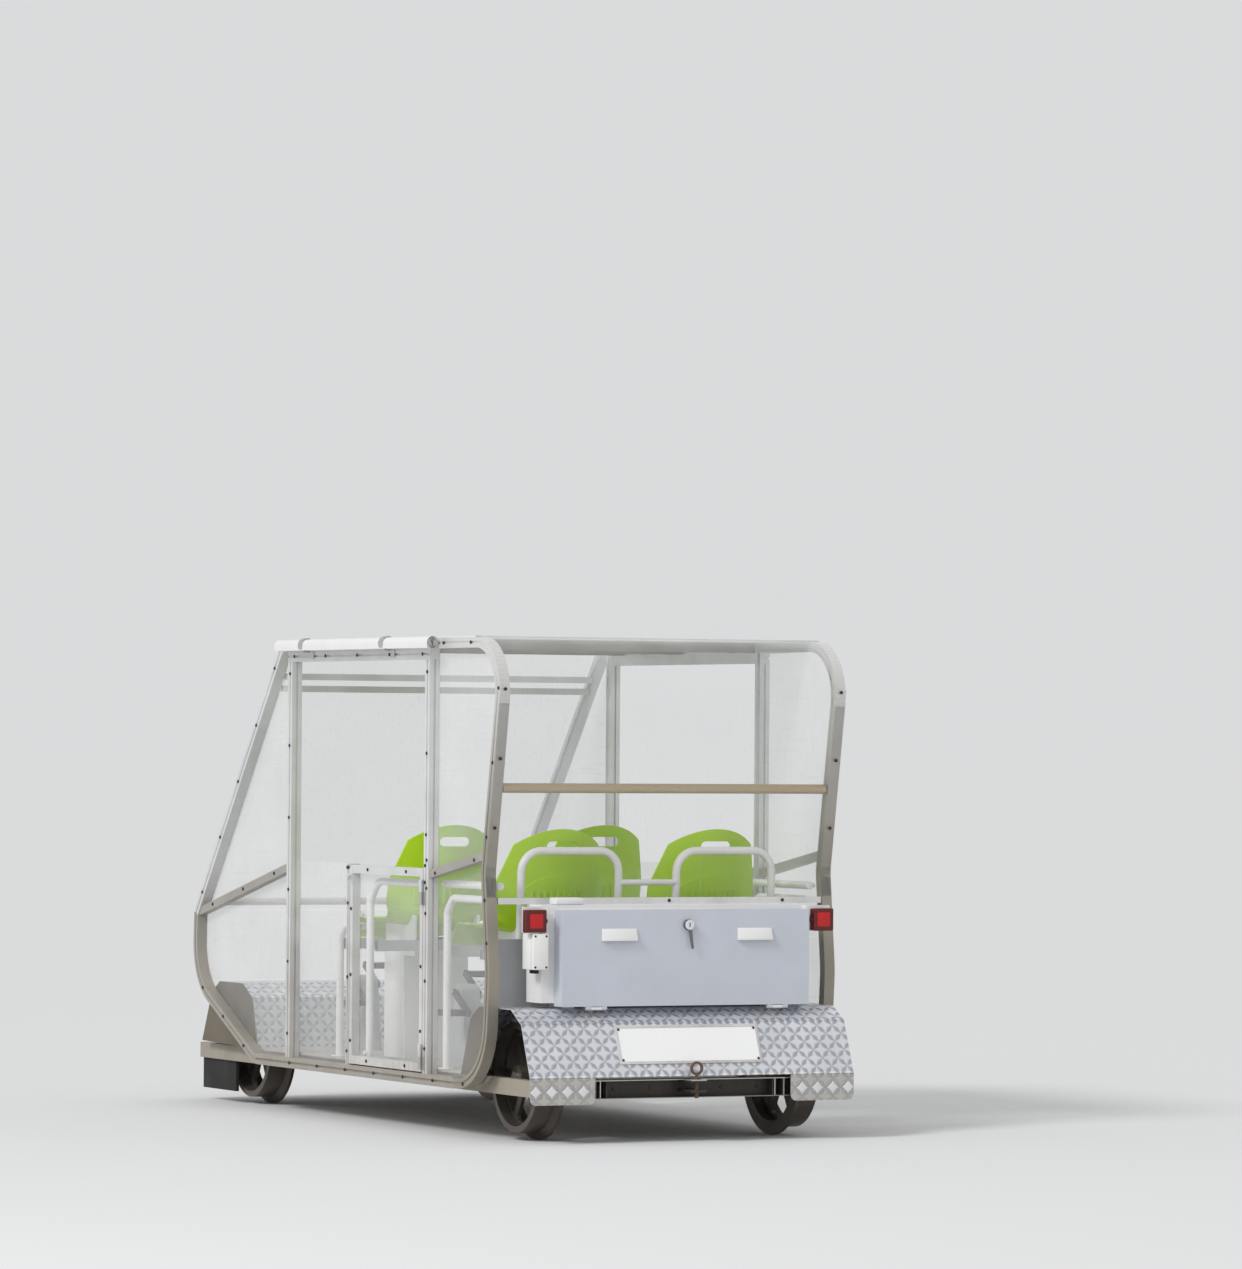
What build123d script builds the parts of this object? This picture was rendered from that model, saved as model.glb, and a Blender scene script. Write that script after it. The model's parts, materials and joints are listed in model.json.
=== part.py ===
"""A four-seat pedal rail car: an open-sided, clear-panelled body on two spoked wheelsets.

Lengths are millimetres. X points forward, Y to the left and Z up. Heights are written above the
top of the rail, and places along the car from the middle of its long chassis tubes and hoods.
export() moves every piece, so that the finished car stands on its wheel flanges at Z = 0 with
X = 0 and Y = 0 at the middle of its overall box.
"""

import os
from math import asin, cos, degrees, radians, sin

from build123d import *

# Ends of the car
nose_end = 1535.0
tail_end = -1572.0

# Running gear
gauge = 1000.0
wheelbase = 2380.0
wheelbase_middle = -40.0
tread_radius = 195.0
flange_depth = 25.0
flange_width = 25.0
flange_tip = 12.0
tread_width = 70.0
tread_fall = 2.0
rim_depth = 24.0
flangeway = 20.0
hub_radius = 42.0
hub_length = 80.0
web_thickness = 14.0
spoke_count = 6
spoke_width = 30.0
window_inset = 10.0
window_corner = 12.0
axle_radius = 20.0
axle_end_gap = 8.0
running_clearance = 0.05

# Chassis
rail_gap = 12.0
rail_width = 38.0
rail_bottom = 137.0
rail_top = 195.0
rail_tail = -1460.0
wall = 3.0
cross_width = 40.0
cross_height = 40.0
cross_places = (-975.0, -750.0, -65.0, 492.0, 860.0)
bracket_places = cross_places[1:4]
longeron_middle = 355.0
longeron_width = 50.0
bearing_width = 40.0
bearing_wall = 32.0
nose_beam_inset = 70.0
bumper_depth = 50.0
bumper_bottom = 130.0
bumper_web = 5.0
gusset_places = (325.0, 365.0)
gusset_thickness = 4.0

# Side frames
profile = 40.0
sill_gap = 40.0
sill_rise = 9.0
groove_width = 8.0
groove_depth = 6.0
bracket_width = 40.0
bracket_height = 20.0
door_post_front = -730.0
latch_post_front = -50.0
latch_post_width = 25.0
front_post_front = 512.0
roof_rail_top = 1698.0
roof_rail_depth = 39.0
tube_width = 37.0
belt_height = 915.0
belt_depth = 30.0
belt_inset = 5.0
front_strut_drop = 13.0
rear_strut_drop = 25.0
rear_strut_rise = 57.0

# What follows across the car from the gauge: rails, side frames and what lies between them
flange_outer = gauge / 2 - flangeway
flange_inner = flange_outer - flange_width
tread_outer = flange_outer + tread_width
wheel_middle = (flange_inner + tread_outer) / 2
rail_inner = tread_outer + rail_gap
rail_outer = rail_inner + rail_width
frame_half_width = rail_outer + sill_gap + profile
frame_inner = frame_half_width - profile
rear_axle = wheelbase_middle - wheelbase / 2
front_axle = wheelbase_middle + wheelbase / 2
nose_beam_back = nose_end - nose_beam_inset
bumper_face = rail_tail - bumper_depth

# What follows upwards
sill_bottom = rail_bottom + sill_rise
sill_top = sill_bottom + profile
sill_middle = sill_bottom + profile / 2
roof_rail_bottom = roof_rail_top - roof_rail_depth
roof_under = roof_rail_top + tube_width
top_run = roof_rail_top + tube_width / 2

# Clear panels and roof
pane = 4.0
pane_corner = 4.0
pane_margin = 5.0
pane_over_belt = 3.0
roof_thickness = 4.0
roof_tail = -1160.0
roll_radius = 24.0
roll_rise = 20.0
roll_front = 528.0
roll_tail = -853.0
strap_places = (283.0, -450.0)
strap_width = 30.0
strap_thickness = 3.0
strap_gap = 0.3
strap_reach = 30.0

# Floor and wheel hoods
floor_thickness = 8.0
sheet = 3.0
arch_thickness = 4.0
hood_top = 440.0
hood_bend = 12.0
lip_width = 250.0
lip_bottom = 113.0
lip_corner = 22.0
hood_half_width = frame_inner - pane - arch_thickness
floor_top = rail_top + floor_thickness

# Outline of the nose and the tail in the side view, as (x, z) corners and their bends
sill_front = 792.0
sill_run = 20.0
nose_corner = (1410.0, 449.0)
nose_radius = 230.0
knee = (1396.0, 701.0)
brow_x = 575.0
brow_radius = 60.0
sill_tail = -990.0
tail_corner_x = -1245.0
tail_radius = 230.0
tail_bulge = (-1275.0, 560.0)
bulge_radius = 400.0
tail_waist = (-1235.0, 910.0)
waist_radius = 150.0
crown_x = -1376.0
crown_radius = 180.0

# Cross bars, by x and height
tail_bar = (-1287.0, 1207.0)
tail_bar_radius = 17.0
nose_bar = (1245.0, 745.0)
head_bars = ((668.0, 1560.0), (640.0, 1605.0))
head_bar_size = 24.0
foot_strip_depth = 20.0
foot_strip_height = 22.0

# Doors
door_gap = 5.0
door_depth = 30.0
door_stile = 25.0
door_rail = 30.0
knuckle_radius = 7.0
knuckle_length = 45.0
knuckle_gap = 0.5
knuckle_offset = 2.0
pin_radius = 4.0
leaf_length = 26.0
leaf_thickness = 4.0
low_hinge_rise = 54.0
high_hinge_drop = 85.0
guard_drop = 58.0
guard_post_x = -139.0
guard_bend = 90.0
guard_stand_in = 22.0
guard_foot_gap = 12.0
guard_reach = 20.0
guard_lead = 60.0
guard_post_drop = 60.0
guard_nose_inset = 18.0
guard_nose_fall = 130.0
guard_stud_reach = 38.0
guard_nose_stud = (26.0, 116.0)
guard_foot_stud = 40.0
stud_radius = 8.0
latch_width = 22.0
latch_height = 60.0
latch_drop = 10.0
latch_plate = 3.0
knob_radius = 11.0
knob_length = 16.0

# Seats, as stamped shells: stations lie along the side-view line, with how far the wings rise
seat_row_front = -178.0
seat_row_pitch = 913.0
seat_spacing = 609.0
seat_width = 425.0
shell = 6.0
seat_pan_height = 690.0
seat_back_rise = 371.0
back_lean = 12.0
pan_ahead = (72.0, 440.0)
pan_rise = 15.0
seat_bend = 90.0
lip_ahead = 30.0
lip_drop = 55.0
lip_bend = 30.0
crown_wing = 90.0
back_wing = 88.0
bend_wings = (78.0, 62.0, 48.0)
pan_wing = 40.0
front_wing = 26.0
lip_wing = 14.0
shoulder_half = 165.0
shoulder_drop = 56.0
shoulder_run = 155.0
slot_width = 120.0
slot_height = 34.0
slot_drop = 61.0
slot_rim = 8.0
rim_height = 3.0
lumbar_half = 132.0
lumbar_foot = 80.0
lumbar_side = 150.0
lumbar_crown = 205.0
lumbar_height = 6.0
rib_count = 9
rib_pitch = 24.0
rib_width = 7.0
rib_length = 70.0
rib_height = 4.0
seat_seating = 0.3

# White tubes
tube_radius = 14.0
tube_sides = 16
bend_steps = 3
hoop_drop = 76.0
hoop_half = 190.0
hoop_x = -1155.0
hoop_foot_ahead = 20.0
hoop_bend = 75.0
tie_bar_drop = 112.0
tie_bar_radius = 11.0
side_guard_gap = 12.0
side_guard_elbow = 50.0
side_guard_bend = 40.0
side_stud_inset = 10.0
rear_rail_inset = 5.0
rear_rail_rise = 5.0
rear_rail_studs = (20.0, 15.0)
# Side guards, each by the x of its post, the x of its end and its height
SIDE_GUARDS = (
    (165.0, latch_post_front - side_guard_gap, 690.0),
    (-785.0, -1180.0, 812.0),
)

# Seat frames
beam_ahead = (47.0, 342.0)
beam_drop = 90.0
beam_height = 40.0
beam_depth = 30.0
pedestal_ahead = (155.0, 345.0)
pedestal_lean = 10.0
pedestal_taper = 20.0
pedestal_width = 260.0
cheek = 6.0
cheek_drop = 20.0
post_stand_in = 70.0

# Pedal drives
pedal_ahead = 800.0
pedal_height = 450.0
crank_length = 130.0
crank_thickness = 12.0
crank_width = 24.0
crank_angle = 150.0
crank_gap = 6.0
crank_axle_radius = 10.0
column_width = 70.0
column_foot = 150.0
column_head = 70.0
pedal_length = 90.0
pedal_width = 80.0
pedal_thickness = 22.0
pedal_gap = 14.0
pedal_pin_radius = 6.0

# Cabinet
cabinet_front = -1245.0
cabinet_tail = -1365.0
cabinet_left = 515.0
cabinet_right = -510.0
cabinet_foot = 19.0
cabinet_height = 342.0
cabinet_wall = 8.0
foot_rail_inset = 60.0
foot_rail_width = 40.0
tray_depth = 65.0
tray_left = 465.0
tray_right = -503.0
tray_drop = 11.0
tray_top_drop = 18.0
tray_wall = 5.0
tray_hinge_places = (330.0, -380.0)
tray_hinge_width = 40.0
tray_knuckle_radius = 6.0
tray_pin_radius = 4.0
hinge_axis_ahead = 6.0
hinge_axis_drop = 7.0
handle_places = (246.0, -285.0)
handle_width = 137.0
handle_drop = 62.0
handle_height = 45.0
handle_reach = 34.0
handle_lip = 8.0
handle_sheet = 4.0
lock_y = -22.0
lock_radius = 19.0
lock_reach = 18.0
lock_drop = 52.0
lever_length = 95.0
lever_width = 14.0
lever_thickness = 5.0
bulkhead_tail = -1176.0
bulkhead_rise = 236.0
bulkhead_thickness = 4.0
lamp_size = 80.0
lamp_depth = 35.0
lamp_middle = 563.0
lamp_drop = 95.0
bracket_plate = 4.0
bracket_over = 10.0
bracket_run = 60.0
box_width = 60.0
box_depth = 90.0
box_height = 126.0
box_reach = 61.0
box_drop = 98.0
cover_box = (405.0, 109.0, 60.0, 25.0)
plate_width = 545.0
plate_height = 130.0
plate_thickness = 2.0
plate_climb = 118.0

# Couplings
clevis_ears = (150.0, 185.0)
ear_width = 60.0
ear_thickness = 10.0
clevis_x = -1552.0
clevis_hole_radius = 8.0
pin_slack = 1.0
pin_tail = 20.0
pin_head_radius = 12.0
pin_head = 8.0
pin_neck_radius = 5.0
pin_neck = 24.0
ring_outer = 24.0
ring_inner = 16.0
ring_thickness = 8.0
eye_bottom = 160.0
eye_thickness = 12.0
eye_x = 1517.0
eye_radius = 9.0
rail_guard_length = 327.0
rail_guard_inset = 3.0
rail_guard_thickness = 12.0
rail_guard_bottom = 20.0

# Heights and places that follow from the ones above
cabinet_bottom = hood_top + cabinet_foot
cabinet_top = cabinet_bottom + cabinet_height
screen_foot = cabinet_top + 22.0
tray_front = cabinet_tail
tray_tail = tray_front - tray_depth
tray_bottom = cabinet_bottom - tray_drop
tray_top = cabinet_top - tray_top_drop
tray_axis = (tray_tail + hinge_axis_ahead, tray_bottom - hinge_axis_drop)
lamp_bottom = cabinet_top - lamp_drop
guard_height = belt_height - guard_drop
seat_back_top = seat_pan_height + seat_back_rise
slot_level = seat_back_top - slot_drop
beam_bottom = seat_pan_height - beam_drop
hoop_top = seat_back_top - hoop_drop

SIDES = (("left", 1), ("right", -1))
SEAT_ROWS = (("front", seat_row_front), ("rear", seat_row_front - seat_row_pitch))

NOSE = ((sill_front, sill_middle), (sill_front + sill_run, sill_middle), nose_corner, knee)
SCREEN = (knee, (brow_x, top_run), (front_post_front - profile, top_run))
TAIL = (
    (sill_tail, sill_middle),
    (tail_corner_x, sill_middle),
    tail_bulge,
    tail_waist,
    (crown_x, top_run),
    (door_post_front, top_run),
)
TAIL_BENDS = (tail_radius, bulge_radius, waist_radius, crown_radius)

# Hood outlines in the side view, from the floor outwards
REAR_HOOD = (
    (-965.0, rail_top),
    (-1043.0, hood_top - 46.0),
    (-1117.0, hood_top),
    (-1369.0, hood_top),
    (-1455.0, hood_top - 50.0),
    (-1531.0, 206.0),
    (-1531.0, lip_bottom),
)
FRONT_HOOD = (
    (881.0, rail_top),
    (937.0, hood_top - 52.0),
    (1035.0, hood_top),
    (1260.0, hood_top),
    (1338.0, hood_top - 46.0),
    (1430.0, 207.0),
)
# The rear wheel arch ends behind the tail hoop, at these (x, z) corners
ARCH_TAIL = ((tail_corner_x, hood_top - 50.0), (-1175.0, 270.0), (-1090.0, rail_top))


def slab(x0, x1, y0, y1, z0, z1):
    """A block between three pairs of faces, given in any order."""
    low = Vector(min(x0, x1), min(y0, y1), min(z0, z1))
    high = Vector(max(x0, x1), max(y0, y1), max(z0, z1))
    size = high - low
    middle = (low + high) / 2
    return Pos(middle.X, middle.Y, middle.Z) * Box(size.X, size.Y, size.Z)


def box_tube(x0, x1, y0, y1, z0, z1, along, thickness=wall):
    """A square tube between three pairs of faces, open at both ends along one axis."""
    outer = slab(x0, x1, y0, y1, z0, z1)
    inset = {
        "X": (0, thickness, thickness),
        "Y": (thickness, 0, thickness),
        "Z": (thickness, thickness, 0),
    }[along]
    dx, dy, dz = inset
    return outer - slab(x0 + dx, x1 - dx, y0 + dy, y1 - dy, z0 + dz, z1 - dz)


def upright(back, front, bottom, top, grooved):
    """A post of the left side frame, with a slot down its outer face and down the faces named."""
    post = slab(back, front, frame_inner, frame_half_width, bottom, top)
    middle_x, middle_y = (back + front) / 2, frame_half_width - profile / 2
    half = groove_width / 2
    post -= slab(middle_x - half, middle_x + half, frame_half_width - groove_depth, frame_half_width, bottom, top)
    for face, inward in (("back", 1), ("front", -1)):
        if face in grooved:
            edge = back if face == "back" else front
            post -= slab(edge, edge + inward * groove_depth, middle_y - half, middle_y + half, bottom, top)
    return post


def lengthwise(back, front, bottom, top):
    """A profile along the left side frame, with a slot along its outer face."""
    bar = slab(back, front, frame_inner, frame_half_width, bottom, top)
    middle, half = (bottom + top) / 2, groove_width / 2
    return bar - slab(back, front, frame_half_width - groove_depth, frame_half_width, middle - half, middle + half)


def rod(start, end, radius):
    """A round bar from one point to another."""
    a, b = Vector(*start), Vector(*end)
    plane = Plane(origin=a, z_dir=(b - a).normalized())
    return extrude(plane * Circle(radius), (b - a).length)


def bent_tube(points, bends, radius):
    """A tube along straight runs, each bend taken in a few mitred steps."""
    line = FilletPolyline(*points, radius=bends)
    corners = [line @ 0]
    for edge in line.edges():
        steps = 1 if edge.geom_type == GeomType.LINE else bend_steps
        corners += [edge @ ((step + 1) / steps) for step in range(steps)]
    path = Polyline(*corners)
    section = Plane(origin=path @ 0, z_dir=path % 0) * RegularPolygon(radius, tube_sides)
    return sweep(section, path=path, transition=Transition.RIGHT)


def side_path(points, bends):
    """A line in the side view, drawn at Y = 0 from (x, z) points."""
    return FilletPolyline(*[(x, 0, z) for x, z in points], radius=bends)


def path_start(path):
    """The plane square to a side-view line at its start, with its X across the car."""
    return Plane(origin=path @ 0, x_dir=(0, 1, 0), z_dir=path % 0)


def side_strip(path, offset_in, offset_out, y0, y1):
    """A strip that follows a side-view line, between two offsets from it, from y0 to y1."""
    middle = (offset_in + offset_out) / 2
    section = Pos((y0 + y1) / 2, middle) * Rectangle(abs(y1 - y0), abs(offset_out - offset_in))
    return sweep(path_start(path) * section, path=path)


def side_polygon(points, y0, y1):
    """A plate with an (x, z) outline, from y0 to y1."""
    face = Plane.XZ * make_face(Polyline(*points, close=True))
    return Pos(0, max(y0, y1), 0) * extrude(face, abs(y1 - y0))


def front_prism(face, x0, x1):
    """A (y, z) outline drawn out along the car, from x0 to x1."""
    return extrude(Plane.YZ.offset(min(x0, x1)) * face, abs(x1 - x0))


def both_sides(piece):
    """A piece and its mirror image in the middle plane."""
    return [piece, mirror(piece, about=Plane.XZ)]


def largest(shape):
    """The solid of a cut shape that holds the most."""
    return max(shape.solids(), key=lambda solid: solid.volume)


def wheel_window():
    """The opening between two spokes, as a face in the wheel's own plane."""
    inner, outer = hub_radius + window_inset, tread_radius - rim_depth - window_inset
    sector = 360 / spoke_count

    def at(radius, edge):
        clear = degrees(asin(spoke_width / 2 / radius))
        angle = radians({"low": clear, "middle": sector / 2, "high": sector - clear}[edge])
        return radius * cos(angle), radius * sin(angle)

    outline = [
        Line(at(inner, "low"), at(outer, "low")),
        ThreePointArc(at(outer, "low"), at(outer, "middle"), at(outer, "high")),
        Line(at(outer, "high"), at(inner, "high")),
        Line(at(inner, "high"), at(inner, "low")),
    ]
    face = make_face(outline)
    far = face.vertices().sort_by(lambda corner: corner.center().length)[-2:]
    return fillet(far, window_corner)


def wheel(x):
    """The left wheel of a wheelset: a cast disc with windows between its spokes, and a flanged rim."""
    rim_inner = tread_radius - rim_depth
    flange_radius = tread_radius + flange_depth
    web, hub = web_thickness / 2, hub_length / 2
    outline = (
        (axle_radius, wheel_middle - hub),
        (hub_radius, wheel_middle - hub),
        (hub_radius, wheel_middle - web),
        (rim_inner, wheel_middle - web),
        (rim_inner, flange_inner),
        (flange_radius, flange_inner),
        (flange_radius, flange_inner + flange_tip),
        (tread_radius, flange_outer),
        (tread_radius - tread_fall, tread_outer),
        (rim_inner, tread_outer),
        (rim_inner, wheel_middle + web),
        (hub_radius, wheel_middle + web),
        (hub_radius, wheel_middle + hub),
        (axle_radius, wheel_middle + hub),
    )
    disc = revolve(Plane.XY * make_face(Polyline(*outline, close=True)), Axis.Y)
    opening = Pos(0, wheel_middle + web_thickness, 0) * extrude(Plane.XZ * wheel_window(), 2 * web_thickness)
    disc -= [Rot(0, step * 360 / spoke_count, 0) * opening for step in range(spoke_count)]
    return Pos(x, 0, tread_radius) * disc


def axle(x):
    """A plain round axle between the chassis rails."""
    half = rail_inner - axle_end_gap
    return rod((x, -half, tread_radius), (x, half, tread_radius), axle_radius)


def side_rails():
    """The two long chassis tubes."""
    return both_sides(box_tube(rail_tail, nose_end, rail_inner, rail_outer, rail_bottom, rail_top, "X"))


def cross_members():
    """Cross tubes between the long ones, the foremost with the towing eye."""
    bottom = rail_top - cross_height
    half = cross_width / 2
    pieces = [box_tube(x - half, x + half, -rail_inner, rail_inner, bottom, rail_top, "Y") for x in cross_places]
    nose_face = nose_beam_back + cross_width
    beam = box_tube(nose_beam_back, nose_face, -rail_inner, rail_inner, bottom, rail_top, "Y")
    beam += slab(nose_face, nose_end, -ear_width / 2, ear_width / 2, eye_bottom, eye_bottom + eye_thickness)
    pieces.append(beam - rod((eye_x, 0, 0), (eye_x, 0, hood_top), eye_radius))
    return pieces


def bearing_beams():
    """Stub beams along the car on each side of the axles, between the cross members."""
    half, room = longeron_width / 2, axle_radius + bearing_wall
    ends = (
        (rail_tail, cross_places[0] - cross_width / 2, rear_axle),
        (cross_places[-1] + cross_width / 2, nose_beam_back, front_axle),
    )
    pieces = []
    for start, end, x in ends:
        for back, front in ((start, x - room), (x + room, end)):
            pieces += both_sides(box_tube(back, front, longeron_middle - half, longeron_middle + half,
                                          rail_top - cross_height, rail_top, "X"))
    return pieces


def bearing_blocks():
    """A bearing housing on each side of each axle, filling the break in its beam."""
    room = axle_radius + bearing_wall
    half = bearing_width / 2
    pieces = []
    for x in (rear_axle, front_axle):
        block = slab(x - room, x + room, longeron_middle - half, longeron_middle + half,
                     rail_top - cross_height, tread_radius + bearing_wall)
        bore = rod((x, 0, tread_radius), (x, gauge, tread_radius), axle_radius + running_clearance)
        pieces += both_sides(block - bore)
    return pieces


def rear_bumper():
    """The channel across the tail, open to the rear, with its gussets and the coupling's ears."""
    beam = slab(bumper_face, rail_tail, -rail_outer, rail_outer, bumper_bottom, rail_top)
    beam -= slab(bumper_face, rail_tail - bumper_web, -rail_outer, rail_outer, bumper_bottom + wall, rail_top - wall)
    for y in gusset_places:
        for side in (1, -1):
            edge = side * y
            beam += slab(bumper_face + wall, rail_tail, edge, edge + gusset_thickness, bumper_bottom, rail_top)
    hole = rod((clevis_x, 0, 0), (clevis_x, 0, hood_top), clevis_hole_radius)
    for z in clevis_ears:
        beam += slab(rail_tail, tail_end, -ear_width / 2, ear_width / 2, z, z + ear_thickness) - hole
    return [beam]


def floor_panel():
    """The floor between the two hoods."""
    return [slab(REAR_HOOD[0][0], FRONT_HOOD[0][0], -hood_half_width, hood_half_width, rail_top, floor_top)]


def rear_hood():
    """The bent tread-plate hood over the rear wheels, with a rounded lip down each rear corner."""
    hood = side_strip(side_path(REAR_HOOD, hood_bend), 0, sheet, -hood_half_width, hood_half_width)
    tail, lip_top = REAR_HOOD[-1][0], REAR_HOOD[-2][1]
    lip_middle = hood_half_width - lip_width / 2
    below = slab(tail - sheet, tail + 2 * sheet, -hood_half_width, hood_half_width, lip_bottom, lip_top)
    tall = 2 * (lip_top - lip_bottom)
    for y in (lip_middle, -lip_middle):
        lip = Pos(y, lip_bottom + tall / 2) * RectangleRounded(lip_width, tall, lip_corner)
        below -= front_prism(lip, tail - 2 * sheet, tail + 3 * sheet)
    hood -= below
    return [hood - slab(cabinet_front, 0, -gauge, gauge, 0, rail_top)]


def front_hood():
    """The bent hood over the front wheels."""
    hood = side_strip(side_path(FRONT_HOOD, hood_bend), 0, -sheet, -hood_half_width, hood_half_width)
    return [hood - slab(0, front_axle, -gauge, gauge, 0, rail_top)]


def arch_plates():
    """Plates that close the ends of the hoods beside the panes."""
    inner, outer = hood_half_width, hood_half_width + arch_thickness
    rear_outline = (*REAR_HOOD[:3], (tail_corner_x, hood_top), *ARCH_TAIL)
    return both_sides(side_polygon(FRONT_HOOD, inner, outer)) + both_sides(side_polygon(rear_outline, inner, outer))


def sills():
    """The bottom profile of each side frame, with brackets to the chassis tube."""
    sill = lengthwise(sill_tail, sill_front, sill_bottom, sill_top)
    half = bracket_width / 2
    for x in bracket_places:
        sill += slab(x - half, x + half, rail_outer, frame_inner, sill_bottom, sill_bottom + bracket_height)
    return both_sides(sill)


def posts():
    """The front, latch and door posts of each side frame."""
    table = (
        (front_post_front - profile, front_post_front, roof_rail_bottom, ("back", "front")),
        (latch_post_front - latch_post_width, latch_post_front, belt_height + pane_over_belt, ()),
        (door_post_front - profile, door_post_front, roof_rail_bottom, ("back",)),
    )
    pieces = []
    for back, front, top, grooved in table:
        pieces += both_sides(upright(back, front, sill_top, top, grooved))
    return pieces


def roof_rails():
    """The two roof rails from the front post to the door post."""
    return both_sides(lengthwise(door_post_front - profile, front_post_front, roof_rail_bottom, roof_rail_top))


def roof_bows():
    """Cross bows that carry the roof sheet above the rails."""
    half = profile / 2
    places = (front_post_front - profile - half, latch_post_front, door_post_front + half)
    return [
        box_tube(x - half, x + half, -frame_half_width, frame_half_width, roof_rail_top, roof_under, "Y")
        for x in places
    ]


def side_profile(points, bends):
    """A bent profile in the plane of a side frame, with a slot along its outer face."""
    path = side_path(points, bends)
    slot = Pos(profile / 2, 0) * Rectangle(groove_depth, groove_width)
    section = Pos(frame_inner + profile / 2, 0) * (Rectangle(profile, tube_width) - slot)
    return sweep(path_start(path) * section, path=path)


def nose_hoops():
    """The curved profile from each sill up to the knee of the nose."""
    return both_sides(side_profile(NOSE, (brow_radius, nose_radius)) - side_profile(SCREEN, brow_radius))


def screen_pillars():
    """The sloping profiles at each side of the windscreen."""
    return both_sides(side_profile(SCREEN, brow_radius))


def tail_hoops():
    """The curved profile from each sill round the tail and up to the roof."""
    return both_sides(side_profile(TAIL, TAIL_BENDS))


def tail_slope_at(height):
    """How far along the car the tail's line lies at a height between its bulge and its waist."""
    slope = (tail_waist[0] - tail_bulge[0]) / (tail_waist[1] - tail_bulge[1])
    return tail_waist[0] + slope * (height - tail_waist[1])


def cross_bars():
    """Cross tubes at the tail and the nose, flat bars at the screen's head, and the strip at its foot."""
    half = frame_inner - pane
    table = ((*tail_bar, tail_bar_radius), (*nose_bar, tube_radius))
    bars = [rod((x, -half, z), (x, half, z), radius) for x, z, radius in table]
    size = head_bar_size / 2
    bars += [slab(x - size, x + size, -half, half, z - size, z + size) for x, z in head_bars]
    strip_front = tail_slope_at(screen_foot) + tube_width / 2 - foot_strip_depth
    bars.append(slab(strip_front - foot_strip_depth, strip_front, -half, half,
                     screen_foot - foot_strip_height, screen_foot))
    return bars


def belt_struts():
    """The struts at window-sill height, ahead of the front post and behind the door post."""
    inner, outer = frame_inner + belt_inset, frame_half_width - belt_inset
    half = belt_depth / 2
    front_line = Line((front_post_front - profile, 0, belt_height - front_strut_drop), (knee[0], 0, knee[1]))
    rear_line = Line((door_post_front, 0, belt_height - rear_strut_drop),
                     (tail_waist[0], 0, belt_height + rear_strut_rise))
    front = side_strip(front_line, -half, half, inner, outer)
    front -= slab(0, front_post_front, 0, gauge, 0, roof_rail_top)
    front -= side_profile(SCREEN, brow_radius)
    front -= side_profile(NOSE, (brow_radius, nose_radius))
    rear = side_strip(rear_line, -half, half, inner, outer)
    rear -= slab(door_post_front - profile, 0, 0, gauge, 0, roof_rail_top)
    rear -= side_profile(TAIL, TAIL_BENDS)
    return both_sides(largest(front)) + both_sides(largest(rear))


def windscreen():
    """The clear sheet on the screen pillars, from the knee to the roof."""
    low = -tube_width / 2
    path = side_path(SCREEN, brow_radius)
    return [side_strip(path, low - pane, low, -frame_half_width, frame_half_width)]


def nose_pane():
    """The clear sheet that wraps round the nose below the knee."""
    low = -tube_width / 2
    path = side_path(NOSE, (brow_radius, nose_radius))
    wrap = side_strip(path, low - pane, low, -frame_half_width, frame_half_width)
    wrap -= slab(0, nose_end, -gauge, gauge, 0, hood_top + pane)
    return [wrap - windscreen()[0]]


def rear_screen():
    """The clear sheet round the tail, from the roof down to the strip above the cabinet."""
    low = -tube_width / 2
    foot = (tail_slope_at(screen_foot), screen_foot)
    path = side_path(((roof_tail, top_run), (crown_x, top_run), tail_waist, foot), (crown_radius, waist_radius))
    return [side_strip(path, low - pane, low, -frame_half_width, frame_half_width)]


def roof_panel():
    """The white roof sheet."""
    return [slab(roof_tail, front_post_front - profile, -frame_half_width, frame_half_width,
                 roof_under, roof_under + roof_thickness)]


def outline_pane(points, bends):
    """A pair of side panes with a closed (x, z) outline, on the inner faces of the profiles."""
    line = FilletPolyline(*points, radius=bends, close=True)
    return both_sides(Pos(0, frame_inner, 0) * extrude(Plane.XZ * make_face(line), pane))


def side_panes():
    """The fixed clear panels of the two side frames."""
    low, high = sill_middle + pane_margin, top_run - pane_margin
    post = front_post_front - profile / 2
    latch = latch_post_front - latch_post_width / 2
    back = door_post_front - profile / 2
    belt = belt_height + pane_over_belt
    nose = ((post, low), (sill_front + sill_run, low), nose_corner, knee, (brow_x, high), (post, high))
    middle = ((latch, low), (post - 1, low), (post - 1, belt), (latch, belt))
    tail = ((back, low), (tail_corner_x + pane_margin, low), tail_bulge, tail_waist, (crown_x, high), (back, high))
    small = pane_corner
    return (
        outline_pane(nose, (small, brow_radius, nose_radius, small, small, small))
        + outline_pane(middle, (small,) * len(middle))
        + outline_pane(tail, (small, *TAIL_BENDS, small))
    )


def roll_axis():
    """Where a curtain roll's axis runs, on the left: y and z."""
    return frame_half_width + strap_thickness + roll_radius, roof_rail_top + roll_rise


def curtain_rolls():
    """The rolled-up side curtain along each roof edge."""
    y, z = roll_axis()
    return both_sides(rod((roll_tail, y, z), (roll_front, y, z), roll_radius))


def roll_straps():
    """The bands that hold the rolls to the roof rails."""
    y, z = roll_axis()
    half = strap_width / 2
    pieces = []
    for x in strap_places:
        band = rod((x - half, y, z), (x + half, y, z), roll_radius + strap_thickness)
        band += slab(x - half, x + half, frame_half_width, frame_half_width + strap_thickness,
                     roof_rail_top - strap_reach, z)
        pieces += both_sides(band - rod((x - half, y, z), (x + half, y, z), roll_radius + strap_gap))
    return pieces


def door_limits():
    """The outer edges of a side door: back, front, bottom and top."""
    return (door_post_front + door_gap, latch_post_front - latch_post_width - door_gap,
            sill_top + door_gap, belt_height)


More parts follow.
